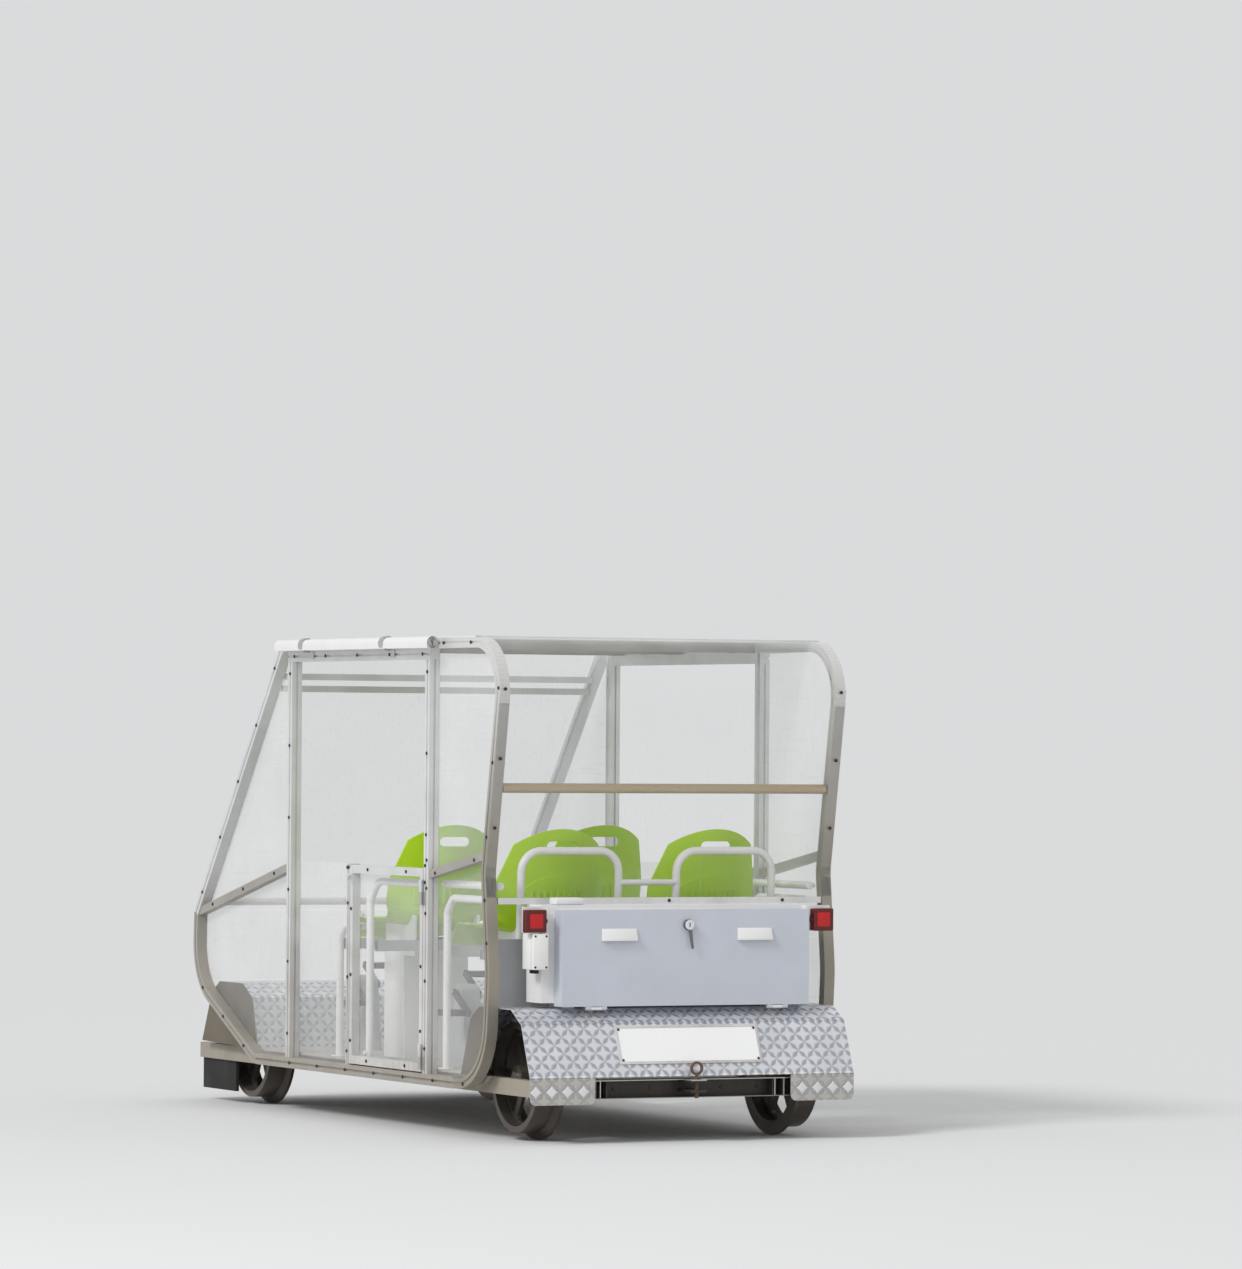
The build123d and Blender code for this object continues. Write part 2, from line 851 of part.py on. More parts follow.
def hinge_axis():
    """Where a side door's hinge axis stands, on the left: x and y."""
    return door_post_front + door_gap / 2, frame_half_width + knuckle_radius + knuckle_offset


def hinge_heights():
    """Where the two hinges of a door part, between their fixed and moving knuckles."""
    return sill_top + door_gap + low_hinge_rise, belt_height - high_hinge_drop


def door_frame():
    """The left door's frame, with the upper knuckles of its hinges, its latch plate and its knob."""
    back, front, bottom, top = door_limits()
    outer_face = frame_half_width
    frame = slab(back, front, outer_face - door_depth, outer_face, bottom, top)
    frame -= slab(back + door_stile, front - door_stile, 0, gauge, bottom + door_rail, top - door_rail)
    x, y = hinge_axis()
    for z in hinge_heights():
        low, high = z + knuckle_gap, z + knuckle_length
        frame += rod((x, y, low), (x, y, high), knuckle_radius)
        frame += slab(x, x + leaf_length, outer_face, outer_face + leaf_thickness, low, high)
        frame -= rod((x, y, z), (x, y, z + 2 * knuckle_length), pin_radius + running_clearance)
    knob_x, latch_top = front - door_stile / 2, top - latch_drop
    face = outer_face + latch_plate
    frame += slab(knob_x - latch_width / 2, knob_x + latch_width / 2, outer_face, face,
                  latch_top - latch_height, latch_top)
    knob_z = latch_top - latch_height / 2
    return frame + rod((knob_x, face, knob_z), (knob_x, face + knob_length, knob_z), knob_radius)


def door_hinges():
    """The fixed knuckles, leaves and pins of the side doors' hinges."""
    x, y = hinge_axis()
    pieces = []
    for z in hinge_heights():
        low = z - knuckle_length
        fixed = rod((x, y, low), (x, y, z), knuckle_radius)
        fixed += slab(x - leaf_length, x, frame_half_width, frame_half_width + leaf_thickness, low, z)
        fixed += rod((x, y, z), (x, y, z + knuckle_length), pin_radius)
        pieces += both_sides(fixed)
    return pieces


def door_pane():
    """The left door's clear panel, on the inner face of its frame."""
    back, front, bottom, top = door_limits()
    face = frame_half_width - door_depth
    return slab(back + pane_margin, front - pane_margin, face - pane, face, bottom + pane_margin, top - pane_margin)


def door_guard():
    """The white tube inside the left door: a rail that bends down, and a post below the bend."""
    back, front, bottom, _ = door_limits()
    face = frame_half_width - door_depth - pane
    y = face - guard_stand_in
    post_top = guard_height - guard_post_drop
    rear, lead = back + guard_reach, guard_post_x - guard_lead
    nose = (front - guard_nose_inset, y, guard_height - guard_nose_fall)
    rail = bent_tube(((rear, y, guard_height), (lead, y, guard_height), nose), guard_bend, tube_radius)
    guard = rail + rod((guard_post_x, y, bottom + guard_foot_gap), (guard_post_x, y, post_top), tube_radius)
    nose_inset, nose_fall = guard_nose_stud
    studs = (
        (back + guard_stud_reach, guard_height),
        (front - nose_inset, guard_height - nose_fall),
        (guard_post_x, bottom + guard_foot_stud),
    )
    for x, z in studs:
        guard += rod((x, y, z), (x, face, z), stud_radius)
    return guard


def seat_line():
    """The underside of a seat in the side view, from the crown to the front lip, ahead of its slot."""
    corners = (
        (-back_lean, seat_back_top),
        (pan_ahead[0], seat_pan_height - pan_rise),
        (pan_ahead[1], seat_pan_height),
        (pan_ahead[1] + lip_ahead, seat_pan_height - lip_drop),
    )
    return side_path(corners, (seat_bend, lip_bend))


def seat_stations():
    """Places along the seat's line, as shares of its length, and how far the wings rise at each."""
    line = seat_line()
    marks = [0.0]
    for corner in line.vertices().sort_by(lambda v: line.param_at_point(v.center()))[1:-1]:
        marks.append(line.param_at_point(corner.center()))
    bend_start, bend_end, lip_start, lip_end = marks[1:]
    steps = len(bend_wings) + 1
    rows = [(0.0, crown_wing), (bend_start, back_wing)]
    rows += [(bend_start + (bend_end - bend_start) * (n + 1) / steps, wing) for n, wing in enumerate(bend_wings)]
    return rows + [(bend_end, pan_wing), (lip_start, front_wing), (lip_end, lip_wing), (1.0, lip_wing)]


def seat_layer(low, high, stations):
    """The part of a seat between two offsets from its underside, as a loft of arc-shaped sections."""
    line = seat_line()
    half = seat_width / 2
    faces = []
    for share, wing in stations:
        heading = line % share
        inward = Vector(-heading.Z, 0, heading.X)
        plane = Plane(origin=line @ share, x_dir=(0, 1, 0), z_dir=Vector(0, 1, 0).cross(inward))
        radius = (half**2 + wing**2) / (2 * wing)
        turn = asin(half / radius)

        def corner(offset, side):
            reach = radius - offset
            return side * reach * sin(turn), radius - reach * cos(turn)

        outline = [
            ThreePointArc(corner(low, -1), (0, low), corner(low, 1)),
            Line(corner(low, 1), corner(high, 1)),
            ThreePointArc(corner(high, 1), (0, high), corner(high, -1)),
            Line(corner(high, -1), corner(low, -1)),
        ]
        faces.append(plane * make_face(outline))
    return loft(faces, ruled=True)


def seat_outline():
    """The seat's outline seen from the front, with its crowned top."""
    half = seat_width / 2
    shoulder = seat_back_top - shoulder_drop
    hip = shoulder - shoulder_run
    foot = seat_pan_height - 2 * lip_drop
    return make_face([
        Polyline((-shoulder_half, shoulder), (-half, hip), (-half, foot), (half, foot), (half, hip),
                 (shoulder_half, shoulder)),
        ThreePointArc((shoulder_half, shoulder), (0, seat_back_top), (-shoulder_half, shoulder)),
    ])


def lumbar_outline():
    """The raised panel across the lower back: straight sides under an arched top edge."""
    foot = seat_pan_height + lumbar_foot
    side, crown = seat_pan_height + lumbar_side, seat_pan_height + lumbar_crown
    return make_face([
        Polyline((-lumbar_half, side), (-lumbar_half, foot), (lumbar_half, foot), (lumbar_half, side)),
        ThreePointArc((lumbar_half, side), (0, crown), (-lumbar_half, side)),
    ])


def moulded_seat():
    """One bucket seat: a winged shell with a rimmed hand slot and a ribbed lumbar panel behind."""
    stations = seat_stations()
    back = stations[:2]
    behind, ahead = -seat_width, pan_ahead[1] + seat_width
    slot = Pos(0, slot_level) * SlotOverall(slot_width, slot_height)
    ring = Pos(0, slot_level) * SlotOverall(slot_width + 2 * slot_rim, slot_height + 2 * slot_rim) - slot
    seat = seat_layer(0, shell, stations) & front_prism(seat_outline(), behind, ahead)
    seat -= front_prism(slot, behind, ahead)
    seat += seat_layer(-rim_height, 1, back) & front_prism(ring, behind, ahead)
    seat += seat_layer(-lumbar_height, 1, back) & front_prism(lumbar_outline(), behind, ahead)
    blades = seat_layer(-lumbar_height - rib_height, 1 - lumbar_height, back)
    rib_middle = seat_pan_height + lumbar_foot + rib_length / 2
    for number in range(rib_count):
        y = (number - (rib_count - 1) / 2) * rib_pitch
        seat += blades & front_prism(Pos(y, rib_middle) * Rectangle(rib_width, rib_length), behind, ahead)
    return seat


def seat_places():
    """Each seat's name, the place of its slot along the car, and its middle line."""
    return [(f"{row}_{hand}", x, side * seat_spacing / 2) for row, x in SEAT_ROWS for hand, side in SIDES]


def seat_beams():
    """The cross beams under the two rows of seats."""
    half = frame_half_width - post_stand_in - tube_radius
    middles = [slot_x + ahead for _, slot_x in SEAT_ROWS for ahead in beam_ahead]
    return [
        box_tube(x - beam_depth / 2, x + beam_depth / 2, -half, half, beam_bottom, beam_bottom + beam_height, "Y")
        for x in middles
    ]


def seat_pedestals():
    """The white pedestals, with a cheek at each side that carries the beams and the seat."""
    length = pedestal_ahead[1] - pedestal_ahead[0]
    middle = sum(pedestal_ahead) / 2
    back, front = beam_ahead[0] + beam_depth / 2, beam_ahead[1] - beam_depth / 2
    low = Plane.XY.offset(floor_top) * Pos(middle - pedestal_lean, 0) * Rectangle(length, pedestal_width)
    high = Plane.XY.offset(beam_bottom) * Pos(middle, 0) * Rectangle(length - pedestal_taper, pedestal_width)
    pedestal = loft([low.face(), high.face()])
    half = pedestal_width / 2
    for edge in (-half, half - cheek):
        pedestal += slab(back, front, edge, edge + cheek, beam_bottom - cheek_drop, seat_pan_height + beam_height)
    pedestal -= seat_layer(-seat_seating, seat_width / 4, seat_stations()[1:-2])
    return [Pos(x, y, 0) * largest(pedestal) for _, x, y in seat_places()]


def hoops():
    """The white hoops behind the rear seats, and the bar that ties them."""
    foot = hood_top - sheet
    foot_x = hoop_x + hoop_foot_ahead
    pieces = []
    for _, side in SIDES:
        y = side * seat_spacing / 2
        route = (
            (foot_x, y - hoop_half, foot),
            (hoop_x, y - hoop_half, hoop_top),
            (hoop_x, y + hoop_half, hoop_top),
            (foot_x, y + hoop_half, foot),
        )
        pieces.append(bent_tube(route, hoop_bend, tube_radius) - slab(-gauge * 2, 0, -gauge, gauge, 0, hood_top))
    reach = seat_spacing / 2 - hoop_half
    z = hoop_top - tie_bar_drop
    tie = rod((hoop_x, -reach, z), (hoop_x, reach, z), tie_bar_radius)
    return [pieces[0] + pieces[1] + tie]


def side_guards():
    """The guard tubes inside the fixed side panels, from the floor up to a post, and the rear rails."""
    y = frame_half_width - post_stand_in
    face = frame_inner - pane
    pieces = []
    for post_x, end_x, top in SIDE_GUARDS:
        elbow = side_guard_elbow
        route = ((post_x, y, floor_top), (post_x, y, top - elbow), (post_x - elbow, y, top), (end_x, y, top))
        stud_x = end_x + side_stud_inset
        tube = bent_tube(route, (side_guard_bend, side_guard_bend), tube_radius)
        pieces += both_sides(tube + rod((stud_x, y, top), (stud_x, face, top), stud_radius))
    start, end = door_post_front - profile, tail_waist[0] + rear_rail_inset
    level = guard_height + rear_rail_rise
    rail = rod((start, y, level), (end, y, level), tube_radius)
    front_stud, tail_stud = rear_rail_studs
    for x in (start - front_stud, end + tail_stud):
        rail += rod((x, y, level), (x, face, level), stud_radius)
    return pieces + both_sides(rail)


def pedal_columns():
    """The housings that carry the crank axles above the floor."""
    half = column_width / 2
    low = Plane.XY.offset(floor_top) * Rectangle(column_foot, column_width)
    high = Plane.XY.offset(pedal_height) * Rectangle(column_head, column_width)
    column = loft([low.face(), high.face()])
    column += rod((0, -half, pedal_height), (0, half, pedal_height), column_head / 2)
    column -= rod((0, -column_width, pedal_height), (0, column_width, pedal_height),
                  crank_axle_radius + running_clearance)
    return [Pos(x + pedal_ahead, y, 0) * column for _, x, y in seat_places()]


def crank_set():
    """A crank axle with its two arms and pedals, half a turn apart."""
    arm_face = column_width / 2 + crank_gap
    half = arm_face + crank_thickness
    body = rod((0, -half, 0), (0, half, 0), crank_axle_radius)
    for side, turned in ((1, 0), (-1, 180)):
        arm = Pos(crank_length / 2, side * (arm_face + crank_thickness / 2), 0) * Box(
            crank_length + crank_width, crank_thickness, crank_width)
        pin_end = arm_face + crank_thickness + pedal_gap
        pin = rod((crank_length, side * half, 0), (crank_length, side * pin_end, 0), pedal_pin_radius)
        tread = Pos(crank_length, side * (pin_end + pedal_width / 2), 0) * Rot(0, -crank_angle, 0) * Box(
            pedal_length, pedal_width, pedal_thickness)
        body += Rot(0, crank_angle + turned, 0) * (arm + pin + tread)
    return Pos(0, 0, pedal_height) * body


def cabinet_body():
    """The cabinet behind the rear seats, open towards the tail, on two foot rails, with its hinge arms."""
    body = slab(cabinet_tail, cabinet_front, cabinet_right, cabinet_left, cabinet_bottom, cabinet_top)
    body -= slab(cabinet_tail, cabinet_front - cabinet_wall, cabinet_right + cabinet_wall,
                 tray_left - cabinet_wall, cabinet_bottom + cabinet_wall, cabinet_top - cabinet_wall)
    half = foot_rail_width / 2
    for y in (tray_left - foot_rail_inset, cabinet_right + foot_rail_inset):
        body += slab(cabinet_tail + wall, cabinet_front - wall, y - half, y + half, hood_top, cabinet_bottom)
    x, z = tray_axis
    half = tray_hinge_width / 2
    for y in tray_hinge_places:
        body += slab(x, cabinet_tail + half, y - half, y + half, z, z + tray_wall)
        body += slab(cabinet_tail, cabinet_tail + half, y - half, y + half, z, cabinet_bottom)
        body += rod((x, y - half, z), (x, y + half, z), tray_knuckle_radius)
        body += rod((x, y - 2 * half, z), (x, y + 2 * half, z), tray_pin_radius)
    return [body]


def cabinet_door():
    """The drop-down tray door of the cabinet, hollow towards the front, with its knuckles."""
    door = slab(tray_tail, tray_front, tray_right, tray_left, tray_bottom, tray_top)
    door -= slab(tray_tail + tray_wall, tray_front, tray_right + tray_wall, tray_left - tray_wall,
                 tray_bottom + tray_wall, tray_top - tray_wall)
    x, z = tray_axis
    half = tray_hinge_width / 2
    leaf = tray_knuckle_radius - 1
    for y in tray_hinge_places:
        for side in (1, -1):
            near, far = y + side * (half + knuckle_gap), y + side * 2 * half
            door += slab(x - leaf, x + leaf, near, far, z, tray_bottom)
            door += rod((x, near, z), (x, far, z), tray_knuckle_radius)
        reach = 2 * half + knuckle_gap
        door -= rod((x, y - reach, z), (x, y + reach, z), tray_pin_radius + running_clearance)
    return [door]


def cabinet_handles():
    """The two folded pull handles and the lock, with its hanging lever, on the tray door."""
    top = tray_top - handle_drop
    tip_x, tip_z = tray_tail - handle_reach, top - handle_height + handle_lip
    outline = (
        (tray_tail, top),
        (tip_x, tip_z),
        (tip_x, tip_z - handle_lip),
        (tip_x + handle_sheet, tip_z - handle_lip),
        (tip_x + handle_sheet, tip_z - handle_sheet / 2),
        (tray_tail, top - 2 * handle_sheet),
    )
    half = handle_width / 2
    pieces = [side_polygon(outline, y - half, y + half) for y in handle_places]
    lock_z = tray_top - lock_drop
    lock_face = tray_tail - lock_reach
    lock = rod((tray_tail, lock_y, lock_z), (lock_face, lock_y, lock_z), lock_radius)
    lever_x = lock_face + lever_thickness
    lock += slab(lock_face, lever_x, lock_y - lever_width / 2, lock_y + lever_width / 2,
                 lock_z - lever_length, lock_z)
    return pieces + [lock]


def bulkhead():
    """The grey board between the rear seats and the cabinet."""
    return [slab(bulkhead_tail, bulkhead_tail + bulkhead_thickness, -hood_half_width, hood_half_width,
                 hood_top, hood_top + bulkhead_rise)]


def tail_lamps():
    """The two square tail lamps."""
    half = lamp_size / 2
    return both_sides(slab(tray_tail, tray_tail + lamp_depth, lamp_middle - half, lamp_middle + half,
                           lamp_bottom, lamp_bottom + lamp_size))


def lamp_brackets():
    """The angle plates that carry the tail lamps out from the cabinet's sides."""
    back = tray_tail + lamp_depth
    top = lamp_bottom + lamp_size + bracket_over
    pieces = []
    for edge, side in ((cabinet_left, 1), (cabinet_right, -1)):
        tip = side * (lamp_middle + lamp_size / 2)
        plate = slab(back, back + bracket_plate, edge, tip, lamp_bottom, top)
        plate += slab(back, cabinet_tail + bracket_run, edge, edge + side * bracket_plate, lamp_bottom, top)
        pieces.append(plate)
    return pieces


def junction_box():
    """The box on the cabinet's left side, and the low cover on its top."""
    top = cabinet_top - box_drop
    back = cabinet_tail - box_reach
    side_box = slab(back, back + box_depth, cabinet_left, cabinet_left + box_width, top - box_height, top)
    middle, width, depth, height = cover_box
    cover = slab(cabinet_tail, cabinet_tail + depth, middle - width / 2, middle + width / 2,
                 cabinet_top, cabinet_top + height)
    return [side_box, cover]


def number_plate():
    """The blank plate on the slope of the rear hood."""
    low, high = Vector(REAR_HOOD[5][0], 0, REAR_HOOD[5][1]), Vector(REAR_HOOD[4][0], 0, REAR_HOOD[4][1])
    along = (high - low).normalized()
    outward = along.cross(Vector(0, 1, 0))
    plane = Plane(origin=low + along * plate_climb, x_dir=(0, 1, 0), z_dir=outward)
    return [extrude(plane * Rectangle(plate_width, plate_height), plate_thickness)]


def coupling_pin():
    """The drop pin of the rear coupling, with its pull ring."""
    top = clevis_ears[1] + ear_thickness
    pin = rod((clevis_x, 0, clevis_ears[0] - pin_tail), (clevis_x, 0, top), clevis_hole_radius - pin_slack)
    pin += rod((clevis_x, 0, top), (clevis_x, 0, top + pin_head), pin_head_radius)
    pin += rod((clevis_x, 0, top), (clevis_x, 0, top + pin_neck), pin_neck_radius)
    ring_middle = top + pin_neck + (ring_outer + ring_inner) / 2 - pin_neck_radius
    ring = Plane.YZ.offset(clevis_x - ring_thickness / 2) * Pos(0, ring_middle) * (Circle(ring_outer) - Circle(ring_inner))
    return [pin + extrude(ring, ring_thickness)]


def rail_guards():
    """The black rubber guards under the front ends of the long tubes."""
    y = rail_outer - rail_width / 2
    half = rail_guard_thickness / 2
    front = nose_end - rail_guard_inset
    return both_sides(slab(front - rail_guard_length, front, y - half, y + half, rail_guard_bottom, rail_bottom))


def export(name, pieces):
    """Write one node: the solids of its pieces, moved to the origin of the finished car."""
    solids = []
    place = Pos(-(nose_end + tail_end) / 2, 0, flange_depth)
    for piece in pieces:
        solids += (place * piece).solids()
    export_step(Compound(children=solids), f"parts/{name}.step")


def main():
    os.makedirs("parts", exist_ok=True)
    for make in (
        side_rails, cross_members, bearing_beams, bearing_blocks, rear_bumper, floor_panel,
        rear_hood, front_hood, arch_plates, sills, posts, roof_rails, roof_bows, nose_hoops,
        screen_pillars, tail_hoops, cross_bars, belt_struts, windscreen, nose_pane,
        rear_screen, roof_panel, side_panes, curtain_rolls, roll_straps, door_hinges, seat_beams,
        seat_pedestals, hoops, side_guards, cabinet_body, cabinet_door, cabinet_handles, bulkhead,
        tail_lamps, lamp_brackets, junction_box, number_plate, coupling_pin, rail_guards, pedal_columns,
    ):
        export(make.__name__, make())
    for name, x in (("rear", rear_axle), ("front", front_axle)):
        export(f"{name}_axle", [axle(x)])
        export(f"{name}_wheels", both_sides(wheel(x)))
    for part, make in (("frame", door_frame), ("pane", door_pane), ("guard", door_guard)):
        for (hand, _), piece in zip(SIDES, both_sides(make())):
            export(f"{hand}_door_{part}", [piece])
    seat, cranks = moulded_seat(), crank_set()
    for name, x, y in seat_places():
        export(f"{name}_seat", [Pos(x, y, 0) * seat])
        export(f"{name}_crank", [Pos(x + pedal_ahead, y, 0) * cranks])


if __name__ == "__main__":
    main()
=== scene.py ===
"""Dress a four-seat pedal rail car: finishes, round tubes, fixings, lamps, curtains, light and camera.

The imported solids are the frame. Lengths are metres and angles degrees. X points forward, Y to the left
and Z up.
"""

import json
import logging
import math
from dataclasses import dataclass
from enum import Enum
from typing import Callable, Optional, Sequence, Union

import bpy
from mathutils import Matrix, Vector

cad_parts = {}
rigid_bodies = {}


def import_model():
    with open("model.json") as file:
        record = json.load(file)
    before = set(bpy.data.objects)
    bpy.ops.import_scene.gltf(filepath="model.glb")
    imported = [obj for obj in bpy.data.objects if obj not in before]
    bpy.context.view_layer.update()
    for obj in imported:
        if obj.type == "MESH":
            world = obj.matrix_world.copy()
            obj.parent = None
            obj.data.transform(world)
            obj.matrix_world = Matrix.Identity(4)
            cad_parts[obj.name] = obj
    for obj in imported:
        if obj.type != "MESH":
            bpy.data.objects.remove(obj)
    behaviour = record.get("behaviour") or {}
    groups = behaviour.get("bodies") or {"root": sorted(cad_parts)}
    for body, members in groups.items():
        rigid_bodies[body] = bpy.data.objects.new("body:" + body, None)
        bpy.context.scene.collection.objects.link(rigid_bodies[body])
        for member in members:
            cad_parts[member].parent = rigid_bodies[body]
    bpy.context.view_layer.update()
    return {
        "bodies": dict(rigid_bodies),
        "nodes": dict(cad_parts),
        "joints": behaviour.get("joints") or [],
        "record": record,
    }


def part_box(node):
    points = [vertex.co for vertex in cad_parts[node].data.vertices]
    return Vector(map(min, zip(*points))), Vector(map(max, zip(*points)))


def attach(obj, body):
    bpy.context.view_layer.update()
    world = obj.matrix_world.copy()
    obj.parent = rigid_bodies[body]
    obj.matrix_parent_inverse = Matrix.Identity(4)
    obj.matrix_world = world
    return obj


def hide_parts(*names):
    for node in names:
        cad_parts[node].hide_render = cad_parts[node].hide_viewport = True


Point = tuple[float, float, float]
Socket = bpy.types.NodeSocket
Value = Union[float, Sequence[float], Socket]

log = logging.getLogger("rail_car")
SIDES = (("left", 1), ("right", -1))
BACKWARDS = (-1.0, 0.0, 0.0)
SQUARE_ON = 0.9  # a face looks along an axis when that part of its normal is larger
BEND_SEGMENTS = 10
TUBE_RESOLUTION = 5
FIXING_SMOOTH = 50.0  # the angle under which a screw's edges are shaded smooth
NOISE_LOW, NOISE_HIGH = 0.3, 0.7
CLOUD_SIZE, FILM_SIZE = 0.18, 0.3
DULLER, GLOSSIER = 1.15, 0.9
RUBBED_GLOSS = 0.6
GRAIN_LOW, GRAIN_HIGH = -0.06, 0.08
DUST = (0.30, 0.24, 0.17)
DUST_ROUGHNESS = 0.85
# painted shade: the dark colour laid round the feet of the tread plate's bars, and how strongly it is
# laid
PAINTED_FOOT_SHADE = (0.16, 0.16, 0.18)
PAINTED_FOOT_SHADE_STRENGTH = 0.45
RUST = (0.16, 0.09, 0.05)
AXLE_HEIGHT = 0.22
RIM_RADIUS = 0.191


class Graph:
    """A node tree that is filled by short calls."""

    def __init__(self, tree: bpy.types.NodeTree) -> None:
        """Keep the tree that the calls add to."""
        self.tree = tree

    def node(self, kind: str, sockets: Optional[dict] = None, **settings) -> bpy.types.Node:
        """Add a node.

        Args:
            kind: Blender's name of the node's class.
            sockets: values or other nodes' outputs, by the name or number of the input.
            settings: options of the node.

        Returns:
            The new node.
        """
        made = self.tree.nodes.new(kind)
        for name, value in settings.items():
            setattr(made, name, value)
        for key, value in (sockets or {}).items():
            self.feed(made.inputs[key], value)
        return made

    def feed(self, target: Socket, value: Value) -> None:
        """Link another node's output to an input, or set the input to a plain value.

        Args:
            target: the input.
            value: the output or the value.
        """
        if isinstance(value, Socket):
            self.tree.links.new(value, target)
        else:
            target.default_value = value

    def math(self, operation: str, first: Value, second: Value = 0.0, clamp: bool = False) -> Socket:
        """Return the result of a Math node."""
        made = self.node("ShaderNodeMath", {0: first, 1: second}, operation=operation, use_clamp=clamp)
        return made.outputs[0]

    def vector(self, operation: str, first: Value, second: Value = (0.0, 0.0, 0.0)) -> Socket:
        """Return the vector result of a Vector Math node."""
        return self.node("ShaderNodeVectorMath", {0: first, 1: second}, operation=operation).outputs[0]

    def spread(
            self, value: Value, low: Value, high: Value, start: Value = 0.0, end: Value = 1.0,
    ) -> Socket:
        """Return a value mapped from low..high to start..end and held within it."""
        sockets = {"Value": value, "From Min": low, "From Max": high, "To Min": start, "To Max": end}
        return self.node("ShaderNodeMapRange", sockets, clamp=True).outputs[0]

    def blend(self, factor: Value, first: Value, second: Value) -> Socket:
        """Return a mix of two colours."""
        made = self.node("ShaderNodeMix", {0: factor, 6: first, 7: second}, data_type="RGBA")
        return made.outputs[2]

    def split(self, vector: Socket) -> tuple[Socket, Socket, Socket]:
        """Return the three parts of a vector."""
        parts = self.node("ShaderNodeSeparateXYZ", {0: vector}).outputs
        return parts[0], parts[1], parts[2]

    def noise(self, position: Socket, scale: Value, detail: float = 2.0) -> Socket:
        """Return the value of a Noise Texture."""
        sockets = {"Vector": position, "Scale": scale, "Detail": detail}
        return self.node("ShaderNodeTexNoise", sockets).outputs[0]

    def place(self, group: bpy.types.NodeTree, **sockets: Value) -> bpy.types.NodeOutputs:
        """Add a shared group, and return its outputs.

        Args:
            group: the shared group.
            sockets: values or other nodes' outputs, by the name of the input.

        Returns:
            The group's outputs.
        """
        made = self.node("ShaderNodeGroup", node_tree=group)
        for name, value in sockets.items():
            self.feed(made.inputs[name], value)
        return made.outputs


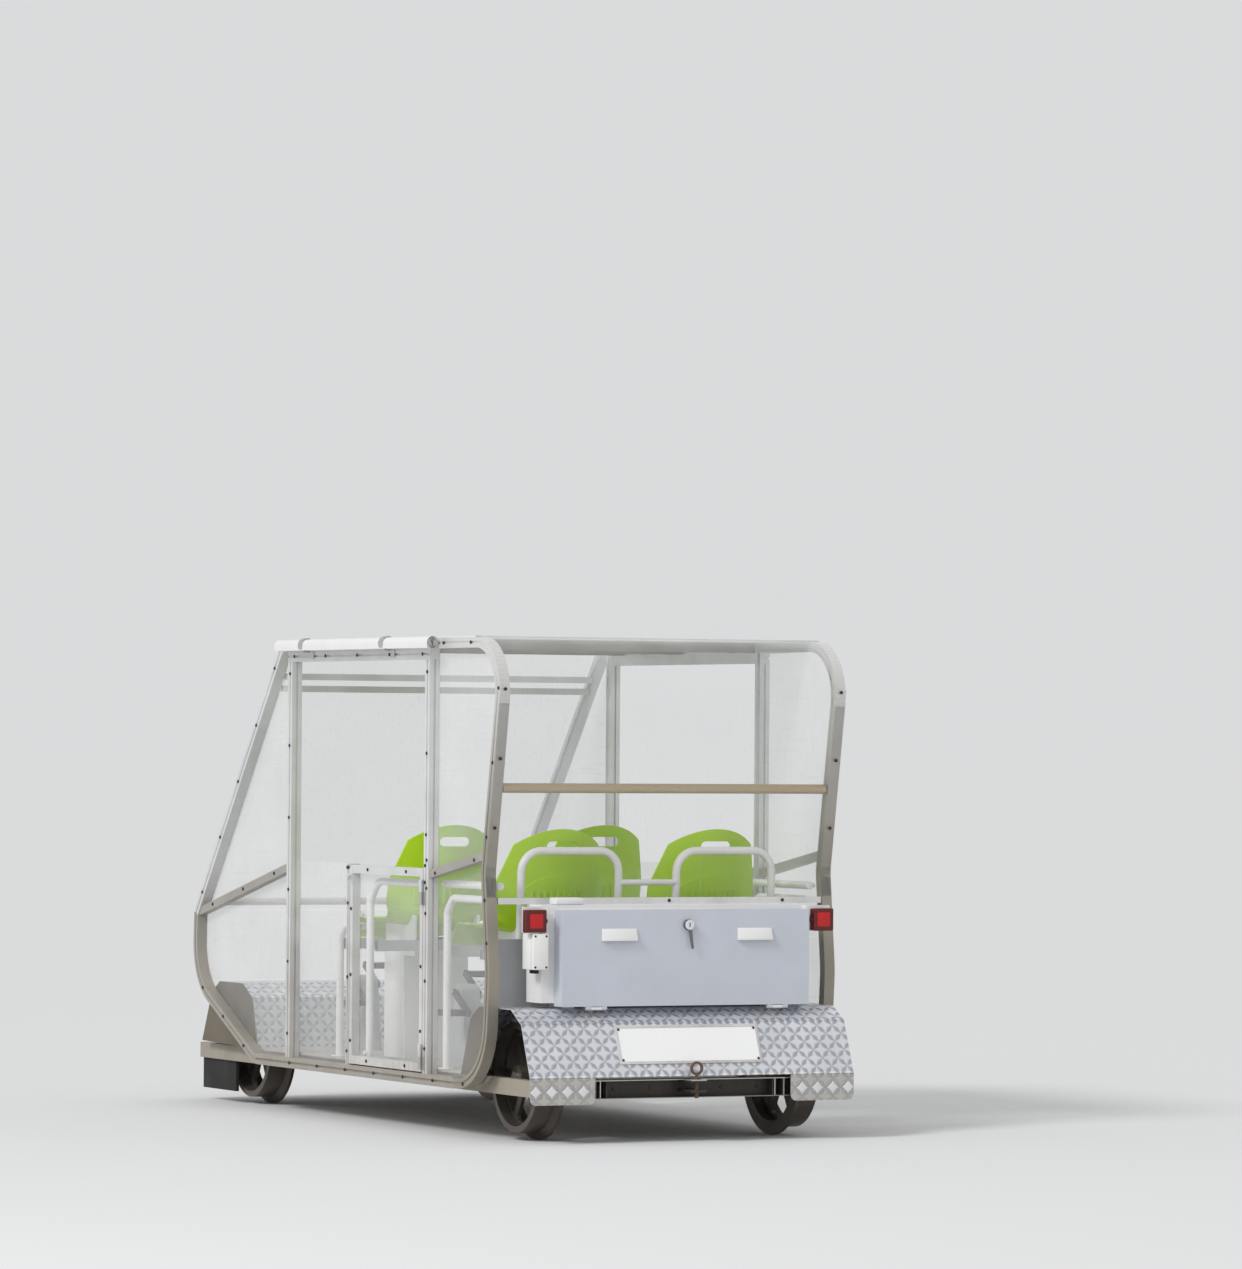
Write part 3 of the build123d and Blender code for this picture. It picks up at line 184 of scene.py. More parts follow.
class Effects:
    """The surface effects that several finishes share, each a node group with named sockets."""

    def __init__(self) -> None:
        """Build every group once."""
        place = {"Position": "Vector"}
        self.cloud = self._group("cloud", {**place, "Size": "Float"}, ("Value",), self._cloud)
        self.grain = self._group("grain", {**place, "Stretch": "Vector"}, ("Value",), self._grain)
        self.wear = self._group("wear", {**place, "Amount": "Float"}, ("Mask",), self._wear)
        dust = {**place, "Amount": "Float", "Top": "Float"}
        self.grime = self._group("grime", dust, ("Mask",), self._grime)
        self.scuffs = self._group("scuffs", {**place, "Amount": "Float"}, ("Mask",), self._scuffs)
        bars = {**place, "Facing": "Vector", "Cell": "Float", "Slimness": "Float", "Reach": "Float"}
        self.tread = self._group("tread", bars, ("Height", "Outline"), self._tread)
        ribs = {"Place": "Float", "Pitch": "Float"}
        self.stripes = self._group("stripes", ribs, ("Height",), self._stripes)
        corners = {**place, "Low": "Vector", "High": "Vector"}
        self.zone = self._group("zone", corners, ("Mask",), self._zone)
        wheel = {**place, "Axle": "Vector", "Radius": "Float"}
        self.rim = self._group("rim", wheel, ("Mask",), self._rim)

    @staticmethod
    def _group(
            name: str, inputs: dict[str, str], outputs: Sequence[str], fill: Callable,
    ) -> bpy.types.NodeTree:
        """Make one group.

        Args:
            name: the group's name.
            inputs: the kind of each input, by its name.
            outputs: the names of the outputs, all single values.
            fill: adds the nodes, and returns the output values in order.

        Returns:
            The group's node tree.
        """
        tree = bpy.data.node_groups.new(name, "ShaderNodeTree")
        for label, kind in inputs.items():
            tree.interface.new_socket(name=label, in_out="INPUT", socket_type=f"NodeSocket{kind}")
        for label in outputs:
            tree.interface.new_socket(name=label, in_out="OUTPUT", socket_type="NodeSocketFloat")
        graph = Graph(tree)
        source = graph.node("NodeGroupInput").outputs
        results = fill(graph, source)
        graph.node("NodeGroupOutput", dict(zip(outputs, results)))
        return tree

    @staticmethod
    def _cloud(graph: Graph, source: bpy.types.NodeOutputs) -> tuple[Socket, ...]:
        """Return a soft cloudy variation of a given size."""
        scale = graph.math("DIVIDE", 1.0, source["Size"])
        return (graph.spread(graph.noise(source["Position"], scale, detail=4.0), NOISE_LOW, NOISE_HIGH),)

    @staticmethod
    def _grain(graph: Graph, source: bpy.types.NodeOutputs) -> tuple[Socket, ...]:
        """Return fine lines, drawn out where the stretch is small."""
        stretched = graph.vector("MULTIPLY", source["Position"], source["Stretch"])
        return (graph.noise(stretched, scale=1.0, detail=3.0),)

    @staticmethod
    def _wear(graph: Graph, source: bpy.types.NodeOutputs) -> tuple[Socket, ...]:
        """Return small chips and rubbed spots, more of them for a larger amount.

        Args:
            graph: the group's nodes.
            source: the group's inputs.

        Returns:
            The mask, in a tuple of one.
        """
        broad_scale, fine_scale, detail = 9.0, 160.0, 3.0
        broad_share, fine_share = 0.55, 0.45
        unworn_limit, limit_drop, edge_sharpness = 0.74, 0.2, 22.0
        broad = graph.noise(source["Position"], broad_scale, detail)
        fine = graph.noise(source["Position"], fine_scale, detail)
        field = graph.math(
            "ADD", graph.math("MULTIPLY", broad, broad_share), graph.math("MULTIPLY", fine, fine_share))
        drop = graph.math("MULTIPLY", source["Amount"], limit_drop)
        excess = graph.math("SUBTRACT", field, graph.math("SUBTRACT", unworn_limit, drop))
        return (graph.math("MULTIPLY", excess, edge_sharpness, clamp=True),)

    @staticmethod
    def _grime(graph: Graph, source: bpy.types.NodeOutputs) -> tuple[Socket, ...]:
        """Return dust thrown up from the track: heavy near the wheels, and almost gone at its top.

        Args:
            graph: the group's nodes.
            source: the group's inputs.

        Returns:
            The mask, in a tuple of one.
        """
        foot, left_at_top = 0.05, 0.06
        patch_scale, patch_detail, patch_least = 7.0, 6.0, 0.25
        patch_low, patch_high = 0.32, 0.68
        streak_stretch, streak_least = (60.0, 60.0, 3.0), 0.6
        streak_low, streak_high = 0.35, 0.7
        height = graph.split(source["Position"])[2]
        low = graph.spread(height, foot, source["Top"], 1.0, left_at_top)
        cloud = graph.noise(source["Position"], patch_scale, patch_detail)
        patch = graph.spread(cloud, patch_low, patch_high, patch_least, 1.0)
        streak = graph.vector("MULTIPLY", source["Position"], streak_stretch)
        lines = graph.noise(streak, scale=1.0, detail=2.0)
        run = graph.spread(lines, streak_low, streak_high, streak_least, 1.0)
        spread = graph.math("MULTIPLY", graph.math("MULTIPLY", low, patch), run)
        return (graph.math("MULTIPLY", spread, source["Amount"], clamp=True),)

    @staticmethod
    def _scuffs(graph: Graph, source: bpy.types.NodeOutputs) -> tuple[Socket, ...]:
        """Return thin scratches in two directions.

        Args:
            graph: the group's nodes.
            source: the group's inputs.

        Returns:
            The mask, in a tuple of one.
        """
        lengthwise, upright = (4.0, 160.0, 90.0), (110.0, 120.0, 6.0)
        none_below, full_above = 0.66, 0.72
        masks = []
        for stretch in (lengthwise, upright):
            stretched = graph.vector("MULTIPLY", source["Position"], stretch)
            lines = graph.noise(stretched, scale=1.0, detail=1.0)
            masks.append(graph.spread(lines, none_below, full_above))
        both = graph.math("MAXIMUM", masks[0], masks[1])
        return (graph.math("MULTIPLY", both, source["Amount"]),)

    @staticmethod
    def _tread(graph: Graph, source: bpy.types.NodeOutputs) -> tuple[Socket, ...]:
        """Return the raised bars of tread plate, one in each cell, turned in and out by turns.

        Args:
            graph: the group's nodes.
            source: the group's inputs.

        Returns:
            The height of the bars, and the painted shade round their feet.
        """
        crown_share, foot_shade_share = 0.6, 1.35
        across = graph.split(source["Position"])[1]
        x, _, z = graph.split(source["Facing"])
        down = graph.node("ShaderNodeCombineXYZ", {0: z, 2: graph.math("MULTIPLY", x, -1.0)}).outputs[0]
        sockets = {0: source["Position"], 1: down}
        along = graph.node("ShaderNodeVectorMath", sockets, operation="DOT_PRODUCT").outputs["Value"]
        cells = [graph.math("DIVIDE", place, source["Cell"]) for place in (across, along)]
        column, row = (graph.math("FLOOR", cell) for cell in cells)
        side, rise = (graph.math("SUBTRACT", graph.math("FRACT", cell), 0.5) for cell in cells)
        halves = graph.math("MULTIPLY", graph.math("ADD", column, row), 0.5)
        even = graph.math("LESS_THAN", graph.math("FRACT", halves), 0.25)
        turn = graph.math("SUBTRACT", 1.0, graph.math("MULTIPLY", even, 2.0))
        rise = graph.math("MULTIPLY", rise, turn)
        lengthwise = graph.math("MULTIPLY", graph.math("ADD", side, rise), source["Slimness"])
        length = graph.math("ABSOLUTE", lengthwise)
        width = graph.math("ABSOLUTE", graph.math("SUBTRACT", side, rise))
        edge = graph.math("ADD", length, width)
        reach = source["Reach"]
        raised = graph.spread(edge, reach, graph.math("MULTIPLY", reach, crown_share))
        foot = graph.spread(edge, graph.math("MULTIPLY", reach, foot_shade_share), reach)
        return raised, graph.math("SUBTRACT", foot, raised, clamp=True)

    @staticmethod
    def _stripes(graph: Graph, source: bpy.types.NodeOutputs) -> tuple[Socket, ...]:
        """Return even rounded ribs along one coordinate.

        Args:
            graph: the group's nodes.
            source: the group's inputs.

        Returns:
            The height, in a tuple of one.
        """
        place = graph.math("FRACT", graph.math("DIVIDE", source["Place"], source["Pitch"]))
        rise = graph.math("ABSOLUTE", graph.math("SUBTRACT", place, 0.5))
        return (graph.math("MULTIPLY", rise, 2.0),)

    @staticmethod
    def _zone(graph: Graph, source: bpy.types.NodeOutputs) -> tuple[Socket, ...]:
        """Return 1 inside a box with its sides along the axes.

        Args:
            graph: the group's nodes.
            source: the group's inputs.

        Returns:
            The mask, in a tuple of one.
        """
        above = graph.split(graph.vector("SUBTRACT", source["Position"], source["Low"]))
        below = graph.split(graph.vector("SUBTRACT", source["High"], source["Position"]))
        mask = graph.math("GREATER_THAN", above[0], 0.0)
        for distance in (*above[1:], *below):
            mask = graph.math("MULTIPLY", mask, graph.math("GREATER_THAN", distance, 0.0))
        return (mask,)

    @staticmethod
    def _rim(graph: Graph, source: bpy.types.NodeOutputs) -> tuple[Socket, ...]:
        """Return 1 beyond a radius from an axle that lies across the car.

        Args:
            graph: the group's nodes.
            source: the group's inputs.

        Returns:
            The mask, in a tuple of one.
        """
        edge_sharpness = 500.0
        arm = graph.vector("SUBTRACT", source["Position"], source["Axle"])
        spoke = graph.vector("MULTIPLY", arm, (1.0, 0.0, 1.0))
        reach = graph.node("ShaderNodeVectorMath", {0: spoke}, operation="LENGTH").outputs["Value"]
        beyond = graph.math("SUBTRACT", reach, source["Radius"])
        return (graph.math("MULTIPLY", beyond, edge_sharpness, clamp=True),)


class Grain(Enum):
    """The way that a surface's fine lines run, as how often they repeat per metre along X, Y and Z."""

    NONE = None
    ACROSS = (900.0, 6.0, 900.0)
    UPRIGHT = (900.0, 900.0, 6.0)
    EVEN = (700.0, 700.0, 700.0)


class Relief(Enum):
    """The kinds of relief, each as its real height in metres, with no two of them equal."""

    SMOOTH = 0.00002
    MOULDED = 0.00006
    COATED = 0.00005
    CAST = 0.0005
    TREAD = 0.0013
    RIBBED = 0.0006


@dataclass(frozen=True)
class Patch:
    """A box of a piece that has another look: a bar of its own colour, or a fitting of bare metal."""

    low: Point
    high: Point
    colour: Point
    roughness: float
    metallic: float = 0.0

    def mask(self, graph: Graph, effects: Effects, position: Socket) -> Socket:
        """Return 1 inside the box."""
        return graph.place(effects.zone, Position=position, Low=self.low, High=self.high)[0]


@dataclass(frozen=True)
class Rim:
    """The running surface of a wheel, beyond a radius from its axle: rubbed smoother, and painted darker
    as shade.
    """

    axle: Point
    radius: float
    colour: Point
    roughness: float
    metallic: float = 0.0

    def mask(self, graph: Graph, effects: Effects, position: Socket) -> Socket:
        """Return 1 beyond the radius."""
        return graph.place(effects.rim, Position=position, Axle=self.axle, Radius=self.radius)[0]


@dataclass(frozen=True)
class Crown:
    """The part of a piece above a height, painted lighter as a highlight of the sky, fading in from a
    lower one.
    """

    low: float
    high: float
    colour: Point
    roughness: float
    metallic: float = 0.0

    def mask(self, graph: Graph, effects: Effects, position: Socket) -> Socket:
        """Return 0 below the lower height, rising to 1 at the upper one."""
        return graph.spread(graph.split(position)[2], self.low, self.high)


@dataclass(frozen=True)
class Finish:
    """An opaque finish, built from the shared effects."""

    name: str
    colour: Point
    roughness: float
    metallic: float = 0.0
    mottle: float = 0.08
    grain: Grain = Grain.NONE
    relief: Relief = Relief.SMOOTH
    grime: float = 0.2
    grime_top: float = 0.75
    wear: float = 0.0
    worn_colour: Point = (0.45, 0.43, 0.40)
    coat: float = 0.0
    coat_roughness: float = 0.12
    raised: Optional[Point] = None
    patches: tuple[Union[Patch, Rim, Crown], ...] = ()
    bar_cell: float = 0.0305
    bar_slimness: float = 0.38
    bar_reach: float = 0.36
    rib_pitch: float = 0.011
    cast_scale: float = 220.0
    skin_scale: float = 900.0

    def build(self, effects: Effects) -> bpy.types.Material:
        """Make the material.

        Args:
            effects: the shared groups.

        Returns:
            The new material.
        """
        material = bpy.data.materials.new(self.name)
        material.use_nodes = True
        graph = Graph(material.node_tree)
        shader = material.node_tree.nodes["Principled BSDF"]
        place = graph.node("ShaderNodeTexCoord")
        position = place.outputs["Object"]
        height, outline = self._height(graph, effects, position, place.outputs["Normal"])
        colour, roughness, metallic = self._layers(graph, effects, position, height, outline)
        shader.inputs["Coat Weight"].default_value = self.coat
        shader.inputs["Coat Roughness"].default_value = self.coat_roughness
        for socket, value in (("Base Color", colour), ("Roughness", roughness), ("Metallic", metallic)):
            graph.feed(shader.inputs[socket], value)
        sockets = {"Strength": 1.0, "Distance": self.relief.value, "Height": height}
        bump = graph.node("ShaderNodeBump", sockets)
        graph.tree.links.new(bump.outputs[0], shader.inputs["Normal"])
        return material

    def _layers(
            self, graph: Graph, effects: Effects, position: Socket, height: Socket,
            outline: Optional[Socket],
    ) -> tuple[Socket, Socket, Value]:
        """Lay the colour, the roughness and the metal over each other.

        Args:
            graph: the material's nodes.
            effects: the shared groups.
            position: the place on the object.
            height: the relief, from 0 to 1.
            outline: the painted shade round what is raised, if anything is.

        Returns:
            The outputs for colour and roughness, and the metal, a plain number where it is even.
        """
        cloud = graph.place(effects.cloud, Position=position, Size=CLOUD_SIZE)[0]
        dark = tuple(channel * (1.0 - 2.0 * self.mottle) for channel in self.colour)
        colour = graph.blend(cloud, (*dark, 1.0), (*self.colour, 1.0))
        duller, glossier = self.roughness * DULLER, self.roughness * GLOSSIER
        roughness = graph.spread(cloud, 0.0, 1.0, duller, glossier)
        metallic = self.metallic
        for patch in self.patches:
            mask = patch.mask(graph, effects, position)
            colour = graph.blend(mask, colour, (*patch.colour, 1.0))
            roughness = self._shift(graph, mask, roughness, patch.roughness)
            metallic = self._shift(graph, mask, metallic, patch.metallic)
        if self.raised is not None:
            # painted shade round the feet of the raised bars
            foot_shade = graph.math("MULTIPLY", outline, PAINTED_FOOT_SHADE_STRENGTH)
            colour = graph.blend(foot_shade, colour, (*PAINTED_FOOT_SHADE, 1.0))
            # painted shade: the raised bars take a darker colour, though they are the same metal as the
            # flats
            colour = graph.blend(height, colour, (*self.raised, 1.0))
            roughness = self._shift(graph, height, roughness, self.roughness * RUBBED_GLOSS)
        if self.grain is not Grain.NONE:
            lines = graph.place(effects.grain, Position=position, Stretch=self.grain.value)[0]
            fine = graph.spread(lines, NOISE_LOW, NOISE_HIGH, GRAIN_LOW, GRAIN_HIGH)
            roughness = graph.math("ADD", roughness, fine, clamp=True)
        if self.wear:
            worn = graph.place(effects.wear, Position=position, Amount=self.wear)[0]
            colour = graph.blend(worn, colour, (*self.worn_colour, 1.0))
        if self.grime:
            dust = self._dust(graph, effects, position)
            colour = graph.blend(dust, colour, (*DUST, 1.0))
            roughness = self._shift(graph, dust, roughness, DUST_ROUGHNESS)
            metallic = self._shift(graph, dust, metallic, 0.0)
        return colour, roughness, metallic

    def _dust(self, graph: Graph, effects: Effects, position: Socket) -> Socket:
        """Return where dust from the track lies on the surface."""
        return graph.place(effects.grime, Position=position, Amount=self.grime, Top=self.grime_top)[0]

    @staticmethod
    def _shift(graph: Graph, mask: Socket, value: Value, target: float) -> Value:
        """Return a value moved to a target where the mask is 1.

        Args:
            graph: the material's nodes.
            mask: where to move it, from 0 to 1.
            value: the value.
            target: the number to move it to.

        Returns:
            The output, or the value itself where it is a number equal to the target.
        """
        if not isinstance(value, Socket) and value == target:
            return value
        return graph.spread(mask, 0.0, 1.0, value, target)

    def _height(
            self, graph: Graph, effects: Effects, position: Socket, facing: Socket,
    ) -> tuple[Socket, Optional[Socket]]:
        """Return the relief, from 0 to 1, and the outline of what is raised, if anything is.

        Args:
            graph: the material's nodes.
            effects: the shared groups.
            position: the place on the object.
            facing: the way that the surface faces.

        Returns:
            The outputs for the relief and for the outline, which is None where nothing is raised.
        """
        if self.relief is Relief.TREAD:
            tread = graph.place(
                effects.tread, Position=position, Facing=facing,
                Cell=self.bar_cell, Slimness=self.bar_slimness, Reach=self.bar_reach)
            return tread[0], tread[1]
        if self.relief is Relief.RIBBED:
            along = graph.split(position)[0]
            return graph.place(effects.stripes, Place=along, Pitch=self.rib_pitch)[0], None
        if self.relief is Relief.CAST:
            return graph.noise(position, self.cast_scale, detail=4.0), None
        if self.relief in (Relief.MOULDED, Relief.COATED):
            return graph.noise(position, self.skin_scale, detail=2.0), None
        lines = Grain.EVEN if self.grain is Grain.NONE else self.grain
        return graph.place(effects.grain, Position=position, Stretch=lines.value)[0], None


@dataclass(frozen=True)
class ClearSheet(Finish):
    """Clear polycarbonate, as a thin film of haze, with a painted reflection: the pale film grows more
    opaque at a glance.
    """

    haze: float = 0.1
    unevenness: float = 0.3
    scuffing: float = 0.5
    gloss: float = 0.75
    gloss_power: float = 4.0
    scratch_cover: float = 0.06
    dust_cover: float = 0.2

    def build(self, effects: Effects) -> bpy.types.Material:
        """Make the material.

        Args:
            effects: the shared groups.

        Returns:
            The new material.
        """
        material = super().build(effects)
        graph = Graph(material.node_tree)
        shader = material.node_tree.nodes["Principled BSDF"]
        position = graph.node("ShaderNodeTexCoord").outputs["Object"]
        scuffs = graph.place(effects.scuffs, Position=position, Amount=self.scuffing)[0]
        cloud = graph.place(effects.cloud, Position=position, Size=FILM_SIZE)[0]
        low, high = self.haze * (1.0 - self.unevenness), self.haze * (1.0 + self.unevenness)
        film = graph.spread(cloud, 0.0, 1.0, low, high)
        # painted reflection: the pale film covers more of the sheet at a glance
        glance = graph.node("ShaderNodeLayerWeight", {"Blend": 0.5}).outputs["Facing"]
        gloss = graph.math("MULTIPLY", graph.math("POWER", glance, self.gloss_power), self.gloss)
        dust = self._dust(graph, effects, position)
        cover = graph.math("ADD", film, gloss)
        cover = graph.math("ADD", cover, graph.math("MULTIPLY", scuffs, self.scratch_cover))
        cover = graph.math("ADD", cover, graph.math("MULTIPLY", dust, self.dust_cover), clamp=True)
        graph.tree.links.new(cover, shader.inputs["Alpha"])
        return material


NOSE_BAR = Patch((1.225, -0.8, 0.74), (1.300, 0.8, 0.80), (0.80, 0.80, 0.78), 0.4)
TAIL_BAR = Patch((-1.300, -0.8, 1.20), (-1.240, 0.8, 1.26), (0.50, 0.40, 0.26), 0.45, 0.4)
BUMPER_EDGE = Patch((-1.60, -0.7, 0.2165), (-1.40, 0.7, 0.2300), (0.62, 0.60, 0.57), 0.35, 0.7)
BUMPER_FOOT = Patch((-1.60, -0.7, 0.1500), (-1.40, 0.7, 0.1575), (0.30, 0.28, 0.26), 0.4, 0.5)
LIP_FACE = Patch((-1.53, -0.8, 0.13), (-1.505, 0.8, 0.2315), (0.52, 0.50, 0.45), 0.5, 0.3)
HEM = Patch((-1.53, -0.8, 0.2315), (-1.49, 0.8, 0.2385), (0.84, 0.83, 0.81), 0.4, 0.3)
# painted highlight: the tail hoops are painted lighter towards their tops, standing in for the sky that
# they reflect
PAINTED_TOP_SHEEN = Crown(1.05, 1.70, (0.73, 0.725, 0.71), 0.34, 0.4)


def tyre(name: str, axle: float) -> Finish:
    """Return the finish of a pair of wheels, smoother where they run, with painted shade darkening that
    band.

    Args:
        name: the finish's name.
        axle: where the axle is along the car.

    Returns:
        The finish.
    """
    # the running band's darker colour is painted shade; its lower roughness and extra metal are the
    # rubbing
    rim = Rim((axle, 0.0, AXLE_HEIGHT), RIM_RADIUS, (0.075, 0.062, 0.052), 0.34, 0.6)
    return Finish(
        name, (0.105, 0.092, 0.080), 0.42, 0.5, relief=Relief.CAST, grime=0.1, wear=0.25,
        worn_colour=RUST, patches=(rim,))


FINISHES = {finish.name: finish for finish in (
    Finish(
        "frame_aluminium", (0.78, 0.785, 0.79), 0.36, 0.35, grain=Grain.EVEN, grime=0.8, grime_top=1.05,
        patches=(NOSE_BAR, TAIL_BAR)),
    Finish(
        "dusty_aluminium", (0.44, 0.425, 0.395), 0.42, 0.40, grain=Grain.EVEN, grime=0.7,
        grime_top=1.05),
    Finish(
        "dull_aluminium", (0.35, 0.33, 0.28), 0.36, 0.45, grain=Grain.EVEN, grime=0.5, grime_top=1.05,
        patches=(PAINTED_TOP_SHEEN,)),
    Finish(
        "tread_plate", (0.80, 0.81, 0.85), 0.36, 0.5, relief=Relief.TREAD, grime=0.12,
        # the darker raised colour is painted shade: bars and flats are one metal
        raised=(0.39, 0.42, 0.50), patches=(LIP_FACE, HEM)),
    Finish(
        "chassis_paint", (0.37, 0.335, 0.28), 0.55, relief=Relief.COATED, grime=0.5, wear=0.35,
        worn_colour=RUST),
    Finish("dark_steel", (0.060, 0.059, 0.058), 0.42, 0.6, relief=Relief.CAST, grime=0.07),
    Finish("bright_steel", (0.62, 0.61, 0.60), 0.30, 1.0, grain=Grain.ACROSS, grime=0.15),
    Finish(
        "white_coat", (0.82, 0.82, 0.81), 0.34, mottle=0.03, relief=Relief.COATED, grime=0.1, wear=0.1),
    Finish("grey_panel", (0.42, 0.43, 0.45), 0.42, relief=Relief.COATED, grime=0.2),
    ClearSheet("clear_sheet", (0.84, 0.86, 0.86), 0.08, grime=0.2, haze=0.034, scuffing=0.8),
    ClearSheet(
        "scuffed_sheet", (0.86, 0.87, 0.88), 0.10, grime=0.3, haze=0.075, scuffing=1.0),
    ClearSheet(
        "roof_sheet", (0.90, 0.91, 0.92), 0.3, mottle=0.01, relief=Relief.RIBBED, grime=0.0, haze=0.72,
        unevenness=0.04),
    Finish("curtain", (0.80, 0.80, 0.79), 0.38, mottle=0.03, relief=Relief.MOULDED, grime=0.0),
    Finish(
        "seat_green", (0.43, 0.69, 0.002), 0.42, mottle=0.02, relief=Relief.MOULDED, grime=0.0,
        coat=0.03),
    Finish("black_rubber", (0.012, 0.012, 0.012), 0.75, relief=Relief.CAST, grime=0.03),
    Finish("lamp_red", (0.52, 0.001, 0.002), 0.3, grime=0.0, coat=0.1),
    Finish("lamp_housing", (0.11, 0.004, 0.004), 0.35, relief=Relief.MOULDED, grime=0.1),
    Finish("floor_board", (0.50, 0.49, 0.47), 0.6, relief=Relief.CAST, grime=0.25),
    Finish("crank_steel", (0.05, 0.05, 0.055), 0.36, 0.5, relief=Relief.COATED, grime=0.2),
    Finish(
        "plate_white", (0.90, 0.91, 0.90), 0.3, mottle=0.01, relief=Relief.COATED, grime=0.0),
    Finish(
        "bumper_steel", (0.032, 0.028, 0.025), 0.45, 0.2, relief=Relief.COATED, grime=0.12, wear=0.4,
        worn_colour=(0.20, 0.10, 0.05), patches=(BUMPER_EDGE, BUMPER_FOOT)),
    Finish("arch_brown", (0.13, 0.112, 0.080), 0.6, relief=Relief.COATED, grime=0.3),
    Finish(
        "rusty_steel", (0.17, 0.10, 0.06), 0.6, 0.3, mottle=0.2, relief=Relief.CAST, grime=0.1, wear=0.5,
        worn_colour=(0.28, 0.12, 0.05)),
    Finish(
        "tray_door", (0.56, 0.59, 0.66), 0.40, mottle=0.03, relief=Relief.COATED, grime=0.08),
    Finish("lock_chrome", (0.84, 0.85, 0.87), 0.22, 0.7, mottle=0.02, grime=0.0),
    Finish("lozenge_steel", (0.85, 0.85, 0.83), 0.34, 0.3, grain=Grain.ACROSS, grime=0.1),
    Finish("lock_steel", (0.20, 0.20, 0.20), 0.34, 0.8, grain=Grain.UPRIGHT, grime=0.0),
    tyre("front_tyre", 1.1685),
    tyre("rear_tyre", -1.2115),
    Finish("fixing", (0.06, 0.055, 0.05), 0.42, 0.8, grime=0.0),
)}
NODE_FINISHES = {
    "cabinet_door": "tray_door",
    "rear_bumper": "bumper_steel",
    "coupling_pin": "rusty_steel",
    "tail_hoops": "dull_aluminium",
    "nose_hoops": "dusty_aluminium",
    "belt_struts": "dusty_aluminium",
    "roof_bows": "dusty_aluminium",
    "sills": "dusty_aluminium",
    "side_panes": "scuffed_sheet",
    "left_door_pane": "scuffed_sheet",
    "right_door_pane": "scuffed_sheet",
    "front_wheels": "front_tyre",
    "rear_wheels": "rear_tyre",
}


def deselect() -> None:
    """Leave nothing selected."""
    bpy.ops.object.select_all(action="DESELECT")


def take(piece: bpy.types.Object) -> bpy.types.Object:
    """Select one object alone and make it active.

    Args:
        piece: the object.

    Returns:
        The same object.
    """
    deselect()
    piece.select_set(True)
    bpy.context.view_layer.objects.active = piece
    return piece


def pick(piece: bpy.types.Object, kind: str, wanted: Callable) -> None:
    """Enter edit mode with the wanted faces or edges of a piece selected.

    Args:
        piece: the piece.
        kind: FACE or EDGE.
        wanted: tells of a face or an edge whether it is wanted.
    """
    take(piece)
    bpy.ops.object.mode_set(mode="EDIT")
    bpy.ops.mesh.select_mode(type=kind)
    bpy.ops.mesh.select_all(action="DESELECT")
    bpy.ops.object.mode_set(mode="OBJECT")
    for part in piece.data.polygons if kind == "FACE" else piece.data.edges:
        part.select = wanted(part)
    bpy.ops.object.mode_set(mode="EDIT")


def leave() -> None:
    """Leave edit mode, with the pick of vertices as it was."""
    bpy.ops.mesh.select_mode(type="VERT")
    bpy.ops.object.mode_set(mode="OBJECT")


def new_piece(name: str) -> bpy.types.Object:
    """Name the object that an operator has just added, and put its place in its mesh.

    Args:
        name: the piece's name.

    Returns:
        The piece, at the origin, unturned and unscaled.
    """
    piece = bpy.context.active_object
    piece.name = name
    take(piece)
    bpy.ops.object.transform_apply(location=True, rotation=True, scale=True)
    return piece


def rounded(piece: bpy.types.Object, width: float, segments: int = 2) -> bpy.types.Object:
    """Round the sharp edges of a piece.

    Args:
        piece: the piece.
        width: the width of the rounding.
        segments: how many faces go across it.

    Returns:
        The same piece.
    """
    take(piece)
    bevel = piece.modifiers.new("round", "BEVEL")
    bevel.width = width
    bevel.segments = segments
    bevel.limit_method = "ANGLE"
    bpy.ops.object.modifier_apply(modifier=bevel.name)
    return piece


def block(name: str, low: Point, high: Point, edge: float = 0.001) -> bpy.types.Object:
    """Add a block between two corners, with rounded edges.

    Args:
        name: the piece's name.
        low: its lowest corner.
        high: its highest corner.
        edge: the width of the rounding.

    Returns:
        The new piece.
    """
    deselect()
    low_corner, high_corner = Vector(low), Vector(high)
    bpy.ops.mesh.primitive_cube_add(
        size=1.0, location=(low_corner + high_corner) / 2, scale=high_corner - low_corner)
    return rounded(new_piece(name), edge)


def bar(
        name: str, start: Point, end: Point, radius: float, edge: float = 0.001, sides: int = 32,
) -> bpy.types.Object:
    """Add a round bar from one point to another, with rounded rims.

    Args:
        name: the piece's name.
        start: the middle of its first end.
        end: the middle of its other end.
        radius: its radius.
        edge: the width of the rounding.
        sides: how many faces go round it.

    Returns:
        The new piece.
    """
    deselect()
    line = Vector(end) - Vector(start)
    bpy.ops.mesh.primitive_cylinder_add(
        vertices=sides, radius=radius, depth=line.length, location=(Vector(start) + Vector(end)) / 2,
        rotation=line.to_track_quat("Z", "Y").to_euler())
    return rounded(new_piece(name), edge)


